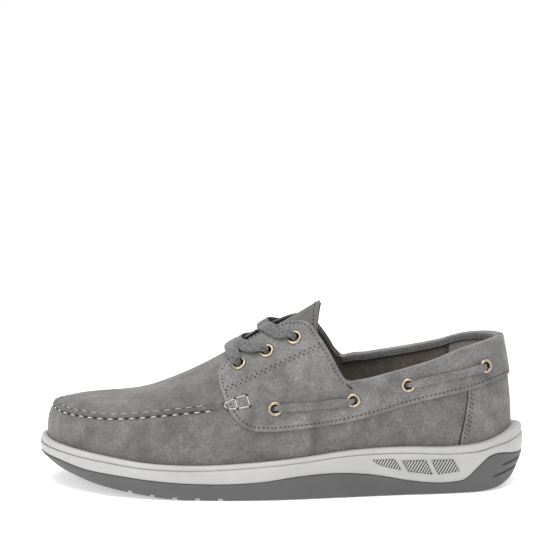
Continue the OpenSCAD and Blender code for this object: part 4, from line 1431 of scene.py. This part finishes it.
@dataclass
class Upper:
    """The leather of the moccasin: vamp, plug, rolled seam, heel cover and the two quarters."""

    shop: Workshop
    bow: float = 0.0085
    gather: float = 6.7
    vamp_gap: float = 0.0021
    heel_gap: float = 0.0016
    heel_rows: tuple[float, float] = (2.3, 4.2)

    def leather(self, name: str, grid: Array, outer: Array, inner: Array, slot: str, node: str,
                finish: str = "nubuck", fold: bool = False) -> bpy.types.Object:
        """A leather part whose cut edges are darker: the raw edge's own dark plus painted shade along and
        under the edge.

        Args:
            name: the piece's name.
            grid: its grid on the last.
            outer: level of its face.
            inner: level of its back.
            slot: the record's material slot.
            node: the CAD node that it stands for.
            finish: its face's material.
            fold: whether row 0 is the toe's middle line.

        Returns:
            The piece.
        """
        points, quads, kinds = Surface.grid(grid, fold).thick(outer, inner)
        piece = make_mesh(name, points, quads, kinds)
        return self.shop.place(piece, [finish, "cut_edge_and_shade"], slot, replaces=[node])

    def puckers(self, laps: Array, grid: Array, from_edge: Array, height: float) -> Array:
        """Small gathers along the rolled seam: a cosine along it that dies away over 4 mm.

        Args:
            laps: the grid's laps.
            grid: the grid, whose last column or first and last columns lie at the seam.
            from_edge: distance of each point from the seam.
            height: height of a gather.

        Returns:
            The outer level at every point.
        """
        run = run_along(self.seam_line(laps))
        wave = 0.5 - 0.5 * np.cos(2 * math.pi * run / self.gather)
        front = 1 - smooth_step((LAST.station(laps) + 46) / 12)
        return (height * wave * front)[:, None] * np.exp(-from_edge / 3.2)

    def seam_line(self, laps: Array, off: float = 0.0) -> Array:
        """The moccasin seam's line, off the last by off."""
        share = at_height(SEAM)(LAST.station(laps))
        return LAST.skin(laps, share) + LAST.normal(laps, share) * off

    def vamp(self) -> None:
        """The vamp, all round the forefoot and back to the heel's seam."""
        end = COUNTER_LAP - self.vamp_gap
        laps = np.concatenate([np.linspace(-end, -0.2145, 220), np.linspace(-0.2135, 0.2135, 480),
                               np.linspace(0.2145, end, 220)])
        grid = panel(laps, feather, vamp_top, 30, 5, self.bow)
        from_edge = np.linalg.norm(grid - grid[:, -1:], axis=-1)
        level = self.puckers(laps, grid, from_edge, 0.3).ravel()
        self.leather("vamp_leather", grid, level, -LEATHER, "suede", "vamp")

    def plug(self) -> None:
        """The plug over the toes, gathered along its edge."""
        laps = np.linspace(0, lap_at(-28.0), 300)
        grid = cap(laps, plug_edge, 44)
        from_edge = np.minimum(np.linalg.norm(grid - grid[:, :1], axis=-1),
                               np.linalg.norm(grid - grid[:, -1:], axis=-1))
        level = self.puckers(laps, grid, from_edge, 0.28).ravel()
        self.leather("plug_leather", grid, level, -LEATHER, "suede", "plug", fold=True)

    def rolled_seam(self) -> None:
        """The roll between vamp and plug, pleated at every stitch, its hand stitches, and dark sunk capsules
        between them that paint the shade in the stitch holes.
        """
        share = at_height(SEAM)(LAST.station(ROLL_LAPS))
        out = LAST.normal(ROLL_LAPS, share)
        sunk = smooth_step((np.abs(ROLL_LAPS) - 0.2125) / 0.004)
        line = LAST.skin(ROLL_LAPS, share) + out * (0.35 - 1.1 * sunk)[:, None]
        run = run_along(line)
        pleat = 1 - 0.07 * np.exp(-((np.mod(run, self.gather) - self.gather / 2) / 0.8) ** 2)
        points, quads, _ = sweep(line, out, 2.9 * pleat, 2.5 * pleat * (1 - 0.6 * sunk), 18, 2.2)
        self.shop.place(make_mesh("seam_roll", points, quads), ["nubuck_rolled"], "suede",
                        replaces=["seam_roll_cord"])
        # The seam_hole rows are dark capsules sunk into the leather: painted shade in the stitch holes.
        rows = (
            ("seam_stitch_low", Stitch(self.gather, 3.2, 0.42, 0.05), -1.9, 0.1, "pale_thread"),
            ("seam_hole_low", Stitch(self.gather, 2.8, 0.65, -0.2, 0.5), -1.75, 0.1, "dark_thread_and_hole_shade"),
            ("seam_stitch_top", Stitch(self.gather, 4.2, 0.42, 0.1), 1.95, 0.1, "grey_thread"),
            ("seam_hole_top", Stitch(self.gather, 1.2, 0.4, -0.15, 0.5), 1.85, 0.1, "dark_thread_and_hole_shade"),
        )
        for name, stitch, shift, level, thread in rows:
            skin = self.seam_line(ROLL_LAPS, level)
            moved = inset_line(skin, out, shift)
            points, quads = stitch.row(moved[12:-12], out[12:-12])
            self.shop.place(make_mesh(name, points, quads), [thread], None)

    def heel(self) -> None:
        """The leather round the heel, a little proud of the vamp, with two rows of stitches at its seam."""
        start = COUNTER_LAP + self.heel_gap
        laps = np.linspace(start, 1 - start, 420)
        grid = panel(laps, feather, vamp_top, 30, 5, self.bow)
        self.leather("heel_leather", grid, 0.22, -LEATHER, "suede", "heel_cover", "nubuck_saddle")
        parts = []
        for side in BOTH_SIDES:
            for distance, phase in zip(self.heel_rows, (0.0, 0.5)):
                stitch = Stitch(2.7, 1.3, 0.28, phase=phase)
                t = np.linspace(0.06, 0.86, 60)
                lap = side.value * (COUNTER_LAP + distance / OUTLINE_LENGTH - self.bow * (1 - t) ** 2.2)
                share = vamp_top(np.array([COUNTER]))[0] * t
                out = LAST.normal(lap, share)
                parts.append(stitch.row(LAST.skin(lap, share) + out * 0.24, out))
        points, quads = join(parts)
        self.shop.place(make_mesh("heel_stitches", points, quads), ["dark_thread_and_hole_shade"], None)

    def quarter(self, side: Side) -> None:
        """A quarter: the saddle with its eyelet holes, running back to the heel.

        Args:
            side: its side.
        """
        first = np.concatenate([np.linspace(-36.5, -36.0, 8)[:-1], np.linspace(-36, -34.4, 12)[:-1],
                                np.linspace(-34.4, -22, 50)])
        front = LAST.lap(first)
        laps = np.concatenate([front, np.linspace(front[-1], 0.5 - 0.0004, 260)[1:]])
        grid = panel(on_side(laps, side), at_height(QUARTER_LOW), under_topline(side), 34)
        piece = self.leather("quarter_leather_" + side.word, grid, QUARTER_OUT, QUARTER_IN, "suede",
                             "quarter_" + side.word, "nubuck_saddle")
        for holes, bore in ((EYELETS, EYELET_HOLE), (SIDE_EYELETS, SIDE_EYELET_HOLE)):
            e = np.array(holes)
            spots, out = LAST.spot(e[:, 0], e[:, 1], side)
            cut_holes(piece, spots, out, bore / 2)

    def edge_line(self, heights: Array, stations: Array, side: Side, inset: float) -> tuple[Array, Array]:
        """A line inside one of the quarter's edges, on its face, and its normals."""
        spots, out = LAST.spot(stations, heights, side, QUARTER_OUT)
        return inset_line(spots, out, inset * side.value), out

    def quarter_stitches(self, side: Side) -> None:
        """Dark rows inside the quarter's edges, the double row over the saddle, and its pale tack.

        Args:
            side: the quarter's side.
        """
        fine = Stitch(2.6, 1.3, 0.29)
        front = np.concatenate([np.linspace(-36.3, -34.4, 30), np.linspace(-34.3, -22, 60),
                                np.linspace(-21.8, 148.5, 320)])
        rim = np.concatenate([np.linspace(-35.5, 14, 120), np.linspace(14.5, 39, 80)])
        parts = [fine.row(*self.edge_line(smooth_curve(QUARTER_LOW, front), front, side, 1.8)),
                 fine.row(*self.edge_line(topline(rim, side), rim, side, -1.8))]
        s = np.linspace(-32, 24.5, 90)
        spots, out = LAST.spot(s, blend(64.5, 90.5, (s + 32) / 56.5), side, QUARTER_OUT)
        staggered = Stitch(3.2, 1.1, 0.3, phase=0.5)
        rise = 5.0 if side is Side.INNER else 0.0
        parts += [Stitch(3.2, 1.1, 0.3).row(spots, out),
                  staggered.row(inset_line(spots, out, 1.8 * side.value), out)]
        spots, out = LAST.spot(np.linspace(40.5, 43, 6), np.linspace(68.5, 66.5, 6) + rise, side, QUARTER_OUT)
        parts.append(Stitch(1.1, 1.3, 0.42).row(spots, out))
        points, quads = join(parts)
        self.shop.place(make_mesh("quarter_stitches_" + side.word, points, quads), ["dark_thread_and_hole_shade"], None)
        self.tack(side)

    def tack(self, side: Side) -> None:
        """Two pale rails and three rungs that tack the saddle's front down, and dark discs at their thread
        holes, painted shade.

        Args:
            side: the quarter's side.
        """
        rails = (((-34, 57), (-27, 60.5), (-20, 62.5)), ((-31.5, 54.5), (-25.5, 55), (-18, 56.5)))
        pairs = [(rail[k], rail[k + 1]) for rail in rails for k in range(2)]
        pairs += list(zip(rails[0], rails[1]))
        threads = []
        for a, b in pairs:
            t = np.linspace(0.1, 0.9, 12)
            line, out = LAST.spot(blend(a[0], b[0], t), blend(a[1], b[1], t), side, QUARTER_OUT + 0.15)
            threads.append(sweep(line, out, np.full(12, 0.66), np.full(12, 0.6), 8, 2)[:2])
        points, quads = join(threads)
        self.shop.place(make_mesh("tack_thread_" + side.word, points, quads), ["pale_thread"], None)
        ends = np.array([p for rail in rails for p in rail])
        spots, out = LAST.spot(ends[:, 0], ends[:, 1], side, QUARTER_OUT - 0.02)
        # A thin dark disc at each rail end: painted shade in the thread hole.
        knot = ((0.95, -0.1), (0.9, 0.1), (0.5, 0.16), (0.02, 0.17), (0.02, -0.1))
        points, quads = lathe(knot, spots, out, 14)
        self.shop.place(make_mesh("tack_holes_" + side.word, points, quads), ["dark_thread_and_hole_shade"], None)

    def build(self) -> None:
        """Builds the whole upper."""
        self.vamp()
        self.plug()
        self.rolled_seam()
        self.heel()
        for side in BOTH_SIDES:
            self.quarter(side)
            self.quarter_stitches(side)
            self.shop.keep("facing_" + side.word, "dark_fibre_and_gap_shade")
        # Facings, toe puff and heel stiffener are dark, so the gaps at the heel seam and the topline read as
        # painted shade.
        self.shop.keep("toe_puff", "dark_fibre_and_gap_shade")
        self.shop.keep("heel_stiffener", "dark_fibre_and_gap_shade")


@dataclass
class Linings:
    """What shows through the mouth: brushed linings and the strips inside the topline."""

    shop: Workshop
    edge_in: float = 0.8
    clear: Points = ((-38, 60), (-30, 63), (-20, 72), (-8, 99.2), (0, 120))
    vamp_end: float = -39.5
    heel_from: float = 107.8
    heel_seams: tuple = (104.6, 106.4)
    strip_from: float = 38.5
    strip_gap: float = 0.0058
    strip_deep: float = 3.3
    strip_seam: float = 3.7

    def top(self, side: Side) -> Callable:
        """The linings' upper edge, which stays below the tongue's root in front.

        Args:
            side: the side.

        Returns:
            A function from stations to shares.
        """
        def share(s: Array) -> Array:
            """The lower of the topline less its edge and the line kept clear for the tongue."""
            front = np.where(s < 0, smooth_curve(self.clear, s), 999.0)
            return LAST.share(s, np.minimum(topline(s, side) - self.edge_in, front))
        return share

    def sheet(self, name: str, grid: Array, levels: tuple[float, float], finish: str, slot: str, node: str,
              fold: bool = False) -> bpy.types.Object:
        """One lining part between two levels."""
        points, quads, _ = Surface.grid(grid, fold).thick(*levels, 4)
        return self.shop.place(make_mesh(name, points, quads), [finish], slot, replaces=[node])

    def build(self) -> None:
        """Builds the linings, the strips and the stitches on them."""
        toe = cap(np.linspace(0, lap_at(self.vamp_end), 90), feather, 26, 5)
        self.sheet("lining_vamp", toe, (LINED, LINED_IN), "lining", "lining", "vamp_lining", True)
        heel = lap_at(self.heel_from)
        grid = panel(np.linspace(heel, 1 - heel, 160), feather, self.top(Side.OUTER), 24, 5)
        self.sheet("lining_heel", grid, (LINED, LINED_IN), "heel_lining", "lining", "heel_lining")
        for side in BOTH_SIDES:
            laps = LAST.lap(np.concatenate([np.linspace(-38, 14, 110), np.linspace(14.5, 107.2, 180)]))
            grid = panel(on_side(laps, side), feather, self.top(side), 26, 5)
            name, levels = "quarter_lining_" + side.word, (LINING_OUT, LINING_IN)
            piece = self.sheet("lining_quarter_" + side.word, grid, levels, "lining", "lining", name)
            e = np.array(EYELETS)
            cut_holes(piece, *LAST.spot(e[:, 0], e[:, 1], side), EYELET_HOLE / 2)
            self.strip(side)

    def strip(self, side: Side) -> None:
        """The leather strip inside the topline, its stitches, and the rows at the heel lining's edge.

        Args:
            side: its side.
        """
        laps = np.linspace(lap_at(self.strip_from), 0.5 - self.strip_gap, 200)
        out = LINED_IN - 0.25
        low, top = under_topline(side, self.strip_deep), under_topline(side, self.edge_in / 2)
        grid = panel(on_side(laps, side), low, top, 6)
        self.sheet("strip_" + side.word, grid, (out, out - 0.7), "binding_leather", "binding",
                   "binding_" + side.word)
        s = np.linspace(40, 146, 200)
        spots, normal = LAST.spot(s, topline(s, side) - self.strip_seam, side, out + 0.2)
        parts = [Stitch(2.2, 1.9, 0.42).row(spots, -normal)]
        flap = np.linspace(-6, 36, 90)
        spots, normal = LAST.spot(flap, topline(flap, side) - 3, side, LINING_IN - 0.02)
        parts.append(Stitch(2.6, 1.3, 0.32).row(spots, -normal))
        for station in self.heel_seams:
            z = np.linspace(44, topline(station, side) - 5, 60)
            spots, normal = LAST.spot(np.full(60, station), z, side, LINING_IN - 0.02)
            parts.append(Stitch(2.6, 1.3, 0.3).row(spots, -normal))
        points, quads = join(parts)
        piece = make_mesh("lining_stitches_" + side.word, points, quads)
        self.shop.place(piece, ["dark_thread_and_hole_shade"], None)
        self.cover(side, out)

    def cover(self, side: Side, inner: float) -> None:
        """The strip's top, turned over the edges of quarter, facing and lining.

        Args:
            side: its side.
            inner: level of the strip's face.
        """
        s = np.concatenate([np.linspace(37.5, 48, 50), np.linspace(48.5, 149.9, 200)])
        outer = QUARTER_OUT - 0.4
        line, out = LAST.spot(s, topline(s, side) + 0.25, side, (outer + inner - 0.5) / 2)
        up = unit(np.cross(out, np.gradient(line, axis=0)) * side.value)
        points, quads, _ = sweep(line, up, np.full(len(s), outer - inner + 0.5), np.full(len(s), 0.9), 14, 3)
        piece = make_mesh("topline_cover_" + side.word, points, quads)
        self.shop.place(piece, ["binding_leather"], "binding")


@dataclass
class Tongue:
    """The tongue and its backing, which ride together on the tongue's body."""

    shop: Workshop
    ends: tuple[float, float] = (-36.0, 23.0)
    drop_line: Points = ((-36, 3.8), (-18, 4.8), (0, 4.4), (12, 2.6), (23, 0.6))
    edge_line: Points = ((-36, 0.62), (-20, 0.4), (0, 0.3), (23, 0.34))
    crown: float = 0.35
    tuck: float = 14.0
    stitched_row: int = -5

    def drop(self, s: Array, t: Array) -> Array:
        """How far the tongue lies below the ridge; its middle stands up behind the plug."""
        raised = self.crown * smooth_step((s + 26) / 14) * (1 - smooth_step(t / 0.34))
        return smooth_curve(self.drop_line, s) * (1 - raised)

    def grid(self, start: float, end: float, rows: int, half: int) -> Array:
        """The tongue's grid between two stations."""
        laps = LAST.lap(np.linspace(start, end, rows))
        return cap(laps, lambda s: smooth_curve(self.edge_line, s), half, 0, self.tuck, self.drop)

    def build(self) -> None:
        """Builds both layers and the row of stitches inside the peak's edge."""
        grid = self.grid(*self.ends, 120, 34)
        sheet = Surface.grid(grid)
        for name, outer, inner, finishes, slot, node in (
                ("tongue_leather", 0.0, -1.4, ["nubuck", "cut_edge_and_shade"], "suede", "tongue"),
                ("tongue_lining", -1.65, -2.85, ["tongue_back", "cut_edge_and_shade"], "backing", "tongue_backing")):
            points, quads, kinds = sheet.thick(outer, inner)
            self.shop.place(make_mesh(name, points, quads, kinds), finishes, slot, Body.TONGUE, [node])
        row = grid[self.stitched_row]
        out = sheet.normals().reshape(grid.shape)[self.stitched_row]
        points, quads = Stitch(2.8, 1.4, 0.3).row(row[4:-4], out[4:-4])
        piece = make_mesh("tongue_stitches", points, quads)
        self.shop.place(piece, ["dark_thread_and_hole_shade"], None, Body.TONGUE)


# ---------------------------------------------------------------- eyelets, thong and laces


@dataclass
class Eyelets:
    """Rolled brass rings with their barrels."""

    shop: Workshop

    def profile(self, od: float, bore: float, deep: float) -> Points:
        """A rolled rim and its barrel.

        Args:
            od: the rim's outer diameter.
            bore: the barrel's bore.
            deep: how far the barrel reaches under the last's surface.

        Returns:
            (radius, height) pairs from the rim's outer foot.
        """
        middle, half = (od + bore) / 4, (od - bore) / 4
        turn = np.radians(np.linspace(-35, 190, 16))
        rim = [(middle + half * math.cos(a), QUARTER_OUT + 0.28 + 0.95 * math.sin(a)) for a in turn]
        hole, wall = bore / 2, bore / 2 + 0.3
        return tuple(rim) + ((hole, 1.2), (hole, -deep), (wall, -deep), (wall, 1.4))

    def build(self) -> None:
        """Builds the four groups."""
        kinds = (("eyelets", EYELETS, 9.0, 5.6, -LINING_IN),
                 ("side_eyelets", SIDE_EYELETS, 8.6, 5.0, -QUARTER_IN))
        for side in BOTH_SIDES:
            for group, places, od, bore, deep in kinds:
                e = np.array(places)
                spots, out = LAST.spot(e[:, 0], e[:, 1], side)
                points, quads = lathe(self.profile(od, bore, deep), spots, out, 48)
                name = f"{group}_{side.word}"
                piece = make_mesh("brass_" + name, points, quads)
                self.shop.place(piece, ["antique_brass"], "eyelet_brass", replaces=[name])


@dataclass(frozen=True)
class Route:
    """Rows of (station, q, height off the last, width, thickness) that a strip follows."""

    rows: Sequence[tuple]

    def rounded(self, steps: int) -> Array:
        """The rows as a Catmull-Rom spline.

        Args:
            steps: steps between each two rows.

        Returns:
            Finer rows of the same values.
        """
        p = np.array(self.rows, float)
        at = np.arange((len(p) - 1) * steps + 1) / steps
        i = np.minimum(at.astype(int), len(p) - 2)
        t = (at - i)[:, None]
        a, b, c, d = p[np.maximum(i - 1, 0)], p[i], p[i + 1], p[np.minimum(i + 2, len(p) - 1)]
        square, cube = 2 * a - 5 * b + 4 * c - d, 3 * b - a - 3 * c + d
        return 0.5 * (2 * b + (c - a) * t + square * t**2 + cube * t**3)

    def strip(self, steps: int, sides: int = 16,
              squareness: float = 3.0) -> tuple[Array, Array, Array, Array]:
        """The strip, whose width keeps its direction where the route dives through a hole.

        Each direction is averaged with its neighbours', weighted by how surely it is known.

        Args:
            steps: steps between each two rows.
            sides: points round the section.
            squareness: the section's exponent.

        Returns:
            Points, quads, UV places and the middle line.
        """
        r = self.rounded(steps)
        line, out = LAST.across(r[:, 0], r[:, 1], r[:, 2])
        along = unit(np.gradient(line, axis=0))
        across = np.cross(along, out)
        turn = np.sign(np.sum(across[1:] * across[:-1], axis=1))
        across *= np.cumprod(np.concatenate([[1.0], np.where(turn == 0, 1, turn)]))[:, None]
        kernel = np.hanning(4 * steps + 3)[1:-1]
        across = np.stack([np.convolve(across[:, k], kernel, "same") for k in range(3)], -1)
        up = unit(np.cross(across, along))
        width, thick = np.maximum(r[:, 3], 0.5), np.maximum(r[:, 4], 0.4)
        return (*sweep(line, up, width, thick, sides, squareness), line)


def q_at(place: Sequence[float], side: Side) -> float:
    """The q of a station and height on one side."""
    share = LAST.share(np.array([place[0]]), np.array([place[1]]))[0]
    return -side.value * (1 - float(share))


@dataclass
class Lacing:
    """The thong along the sides, the lace over the instep, its two tails and their sleeves."""

    shop: Workshop
    thong_out: float = 2.4
    thong_over: float = 3.65
    thong_in: float = -0.7
    thong_sides: int = 14
    thong_edges: tuple = (0, 5, 6, 7, 12, 13)
    lace_under: float = -3.5
    lace_over: float = 3.85
    tail: Points = ((12, 88), (15, 78), (16, 66), (14, 54), (10, 44), (3, 35.5), (-6, 30.5), (-18, 29),
                    (-32, 28), (-44, 27.5))
    tail_off: float = -5.2
    aglet: tuple[float, float] = (22.0, 2.6)

    def thong_pass(self, place: Sequence[float], side: Side, way: int) -> list:
        """The thong through a side eyelet.

        Args:
            place: the eyelet's station and height.
            side: its side.
            way: 1 where the thong goes in as the station grows, else -1.

        Returns:
            Rows of a route.
        """
        q = q_at(place, side)
        inside = place[0] + way * 2.5
        rows = [(place[0] - way * 1.6, q, self.thong_over, 3, 1), (place[0], q, QUARTER_OUT, 2.6, 1),
                (place[0], q, 0.45, 2.6, 1),
                (inside, q_at((inside, self.thong_z(inside)), side), self.thong_in, 3.6, 1)]
        return rows if way > 0 else rows[::-1]

    @staticmethod
    def thong_z(station: float) -> float:
        """The thong's height at a station."""
        return float(smooth_curve(SIDE_EYELETS, np.array([station]))[0])

    def thong_run(self, stations: Sequence[float], offs: Sequence[float], side: Side) -> list:
        """Rows of a stretch of the thong at its full width."""
        return [(s, q_at((s, self.thong_z(s)), side), off, 5, 1) for s, off in zip(stations, offs)]

    def thong(self) -> None:
        """One thong a side, out through the front eyelets, round the heel under the quarters."""
        over, out, low = self.thong_over, self.thong_out, self.thong_in
        parts, kinds = [], []
        for side in BOTH_SIDES:
            rows = self.thong_run((-14, -8), (low, low), side)
            rows += self.thong_pass(SIDE_EYELETS[0], side, -1)
            rows += self.thong_run((4, 12, 24, 37), (over, out, out, over), side)
            rows += self.thong_pass(SIDE_EYELETS[1], side, 1)
            rows += self.thong_run((51, 57, 64, 70), (low,) * 4, side)
            rows += self.thong_pass(SIDE_EYELETS[2], side, -1)
            rows += self.thong_run((84, 96, 108, 117, 123.5), (over, out, out, out, over), side)
            rows += self.thong_pass(SIDE_EYELETS[3], side, 1)
            rows += self.thong_run((134, 140, 145, 148, 149.7), (low,) * 5, side)
            points, quads, _, line = Route(rows).strip(6, self.thong_sides, 5)
            parts.append((points, quads))
            log.info("thong %s: %.0f mm", side.word, run_along(line)[-1])
            # The faces on the thong's two edges take the dark edge finish: raw-edge dark plus painted shade
            # along the thong.
            face = np.arange(len(quads)) % self.thong_sides
            kinds.append(np.isin(face, self.thong_edges).astype(int))
        points, quads = join(parts)
        piece = make_mesh("thong", points, quads, np.concatenate(kinds))
        self.shop.place(piece, ["nubuck_saddle", "cut_edge_and_shade"], "thong", replaces=["side_thong"])

    def half_lace(self, side: Side, rise: float) -> list:
        """Half the lace, from the first bar through three eyelets, changing sides under the flaps.

        Args:
            side: the side of its first eyelet.
            rise: how high it passes over the ridge.

        Returns:
            Rows of a route.
        """
        over, under, rows = self.lace_over, self.lace_under, []
        for k, place in enumerate(EYELETS):
            s, q = place[0], q_at(place, side)
            if k == 0:
                rows += [(s - 4, q * 0.3, over - 0.2, 8, 1.4), (s - 2.5, q * 0.62, over + 0.4, 7.6, 1.4)]
            lead = 1.2 if k == 0 else 3.2
            rows += [(s - lead, q * 0.9, over + 0.4, 6.4, 1.7), (s - 0.4, q * 0.98, over - 0.3, 4.4, 2),
                     (s, q, QUARTER_IN, 3.9, 2), (s + 0.8, q * 0.97, under - 0.6, 4, 2)]
            if k < 2:
                after = EYELETS[k + 1][0]
                beyond = q_at(EYELETS[k + 1], Side(-side.value))
                rows += [(s + 1, q * 0.72, under - 0.2, 6.4, 1.4), (s - 0.5, q * 0.45, under + 0.3, 7.6, 1.4),
                         (s - 1.5, q * 0.1, rise, 8, 1.4),
                         (after - 16.5, beyond * 0.3, 2.9 + rise / 3, 8, 1.4),
                         (after - 12.5, beyond * 0.58, 3.1, 8, 1.4), (after - 8, beyond * 0.79, 3.2, 8, 1.4)]
                side = Side(-side.value)
        return rows

    def lace(self) -> None:
        """The whole front lace, from the last eyelet of one side to that of the other."""
        a, b = self.half_lace(Side.OUTER, 0.3), self.half_lace(Side.INNER, 2.5)
        bar = [(-28.5, 0, self.lace_over - 0.6, 8, 1.4)]
        points, quads, uv, line = Route(b[::-1] + bar + a).strip(8, 20)
        piece = make_mesh("lace_front", points, quads, uv=uv)
        self.shop.place(piece, ["lace"], "lace", replaces=["front_lace"])
        log.info("front lace: %.0f mm", run_along(line)[-1])

    def tails(self, side: Side) -> None:
        """One end of the lace, which hangs inside and lies along the footbed's edge, and its sleeve.

        Args:
            side: the side that it hangs on.
        """
        rows = [(s, q_at((s, z), side), self.tail_off, 4, 1.4) for s, z in self.tail]
        points, quads, uv, line = Route(rows).strip(10, 16)
        tail = make_mesh("tail_" + side.word, points, quads, uv=uv)
        self.shop.place(tail, ["lace"], "lace", replaces=["lace_tail_" + side.word])
        end = self.tail[-1]
        along = np.linspace(0, 1, 24)
        s, z = end[0] - 0.5 - along * self.aglet[0], end[1] - along * 0.2
        sleeve_line, out = LAST.spot(s, z, side, self.tail_off)
        width = self.aglet[1] * (1 - 0.18 * smooth_step((along - 0.86) / 0.14))
        points, quads, _ = sweep(sleeve_line, out, width, width, 20, 2)
        sleeve = make_mesh("sleeve_" + side.word, points, quads)
        self.shop.place(sleeve, ["aglet_sleeve"], "aglet", replaces=["aglet_" + side.word])
        length = float(np.linalg.norm(np.diff(line, axis=0), axis=1).sum()) * MM
        path = [tuple(p) for p in line * MM]
        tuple(path[0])
        log.info("lace tail %s: %.0f mm", side.word, length / MM)

    def build(self) -> None:
        """Builds the thong, the lace, and both tails."""
        self.thong()
        self.lace()
        for side in BOTH_SIDES:
            self.tails(side)


# ---------------------------------------------------------------- studio


@dataclass
class Studio:
    """A white floor, soft light and the camera."""

    camera_at: tuple = (-0.0006, -1.2389, 0.3128)
    camera_turn: tuple = (math.radians(81.4), 0.0, 0.0)
    lens: float = 131.0

    def floor(self) -> None:
        """A wide white floor a hair below the sole."""
        bpy.ops.mesh.primitive_plane_add(size=80, location=(0, 0, -0.0004))
        floor = bpy.context.active_object
        floor.name = "floor"
        paint = Paint("white_floor")
        floor.data.materials.append(paint.shade({
            "Base Color": grey(0.93), "Roughness": 0.9, "Specular IOR Level": 0.0,
            "Emission Color": grey(1.0), "Emission Strength": 0.4}))

    def lamp(self, name: str, place: tuple, aim: tuple, size: tuple, power: float) -> None:
        """A soft rectangular light.

        Args:
            name: its name.
            place: where it stands, in metres.
            aim: the point that it faces.
            size: its width and height.
            power: its power in watts.
        """
        data = bpy.data.lights.new(name, "AREA")
        data.shape, data.size, data.size_y, data.energy = "RECTANGLE", size[0], size[1], power
        lamp = bpy.data.objects.new(name, data)
        bpy.context.scene.collection.objects.link(lamp)
        lamp.location = place
        way = np.array(aim, float) - np.array(place, float)
        flat = math.hypot(way[0], way[1])
        lamp.rotation_euler = (math.atan2(flat, -way[2]), 0, math.atan2(way[1], way[0]) - math.pi / 2)

    def build(self) -> None:
        """Builds the studio."""
        self.floor()
        world = bpy.data.worlds.new("studio_air")
        world.use_nodes = True
        world.node_tree.nodes["Background"].inputs["Color"].default_value = (1, 1, 1, 1)
        world.node_tree.nodes["Background"].inputs["Strength"].default_value = 0.66
        bpy.context.scene.world = world
        self.lamp("over", (-0.15, -0.25, 1.3), (0, 0, 0.05), (1.3, 1.0), 14)
        self.lamp("front_left", (-0.9, -1.1, 0.7), (0, 0, 0.06), (0.7, 0.7), 6)
        self.lamp("back_right", (0.8, 0.9, 0.8), (0, 0, 0.08), (0.7, 0.5), 5)
        data = bpy.data.cameras.new("camera")
        data.lens, data.sensor_width = self.lens, 36.0
        camera = bpy.data.objects.new("camera", data)
        bpy.context.scene.collection.objects.link(camera)
        camera.location, camera.rotation_euler = self.camera_at, self.camera_turn
        bpy.context.scene.camera = camera
        bpy.context.scene.view_settings.view_transform = "Standard"


def main() -> None:
    """Dresses the frame piece by piece."""
    logging.basicConfig(level=logging.INFO, format="%(name)s %(message)s")
    shop = Workshop(Finishes())
    for part in (Sole(shop), Bedding(shop), Upper(shop), Linings(shop), Tongue(shop), Eyelets(shop),
                 Lacing(shop), Studio()):
        log.info("building %s", type(part).__name__)
        part.build()


if __name__ == "__main__":
    main()
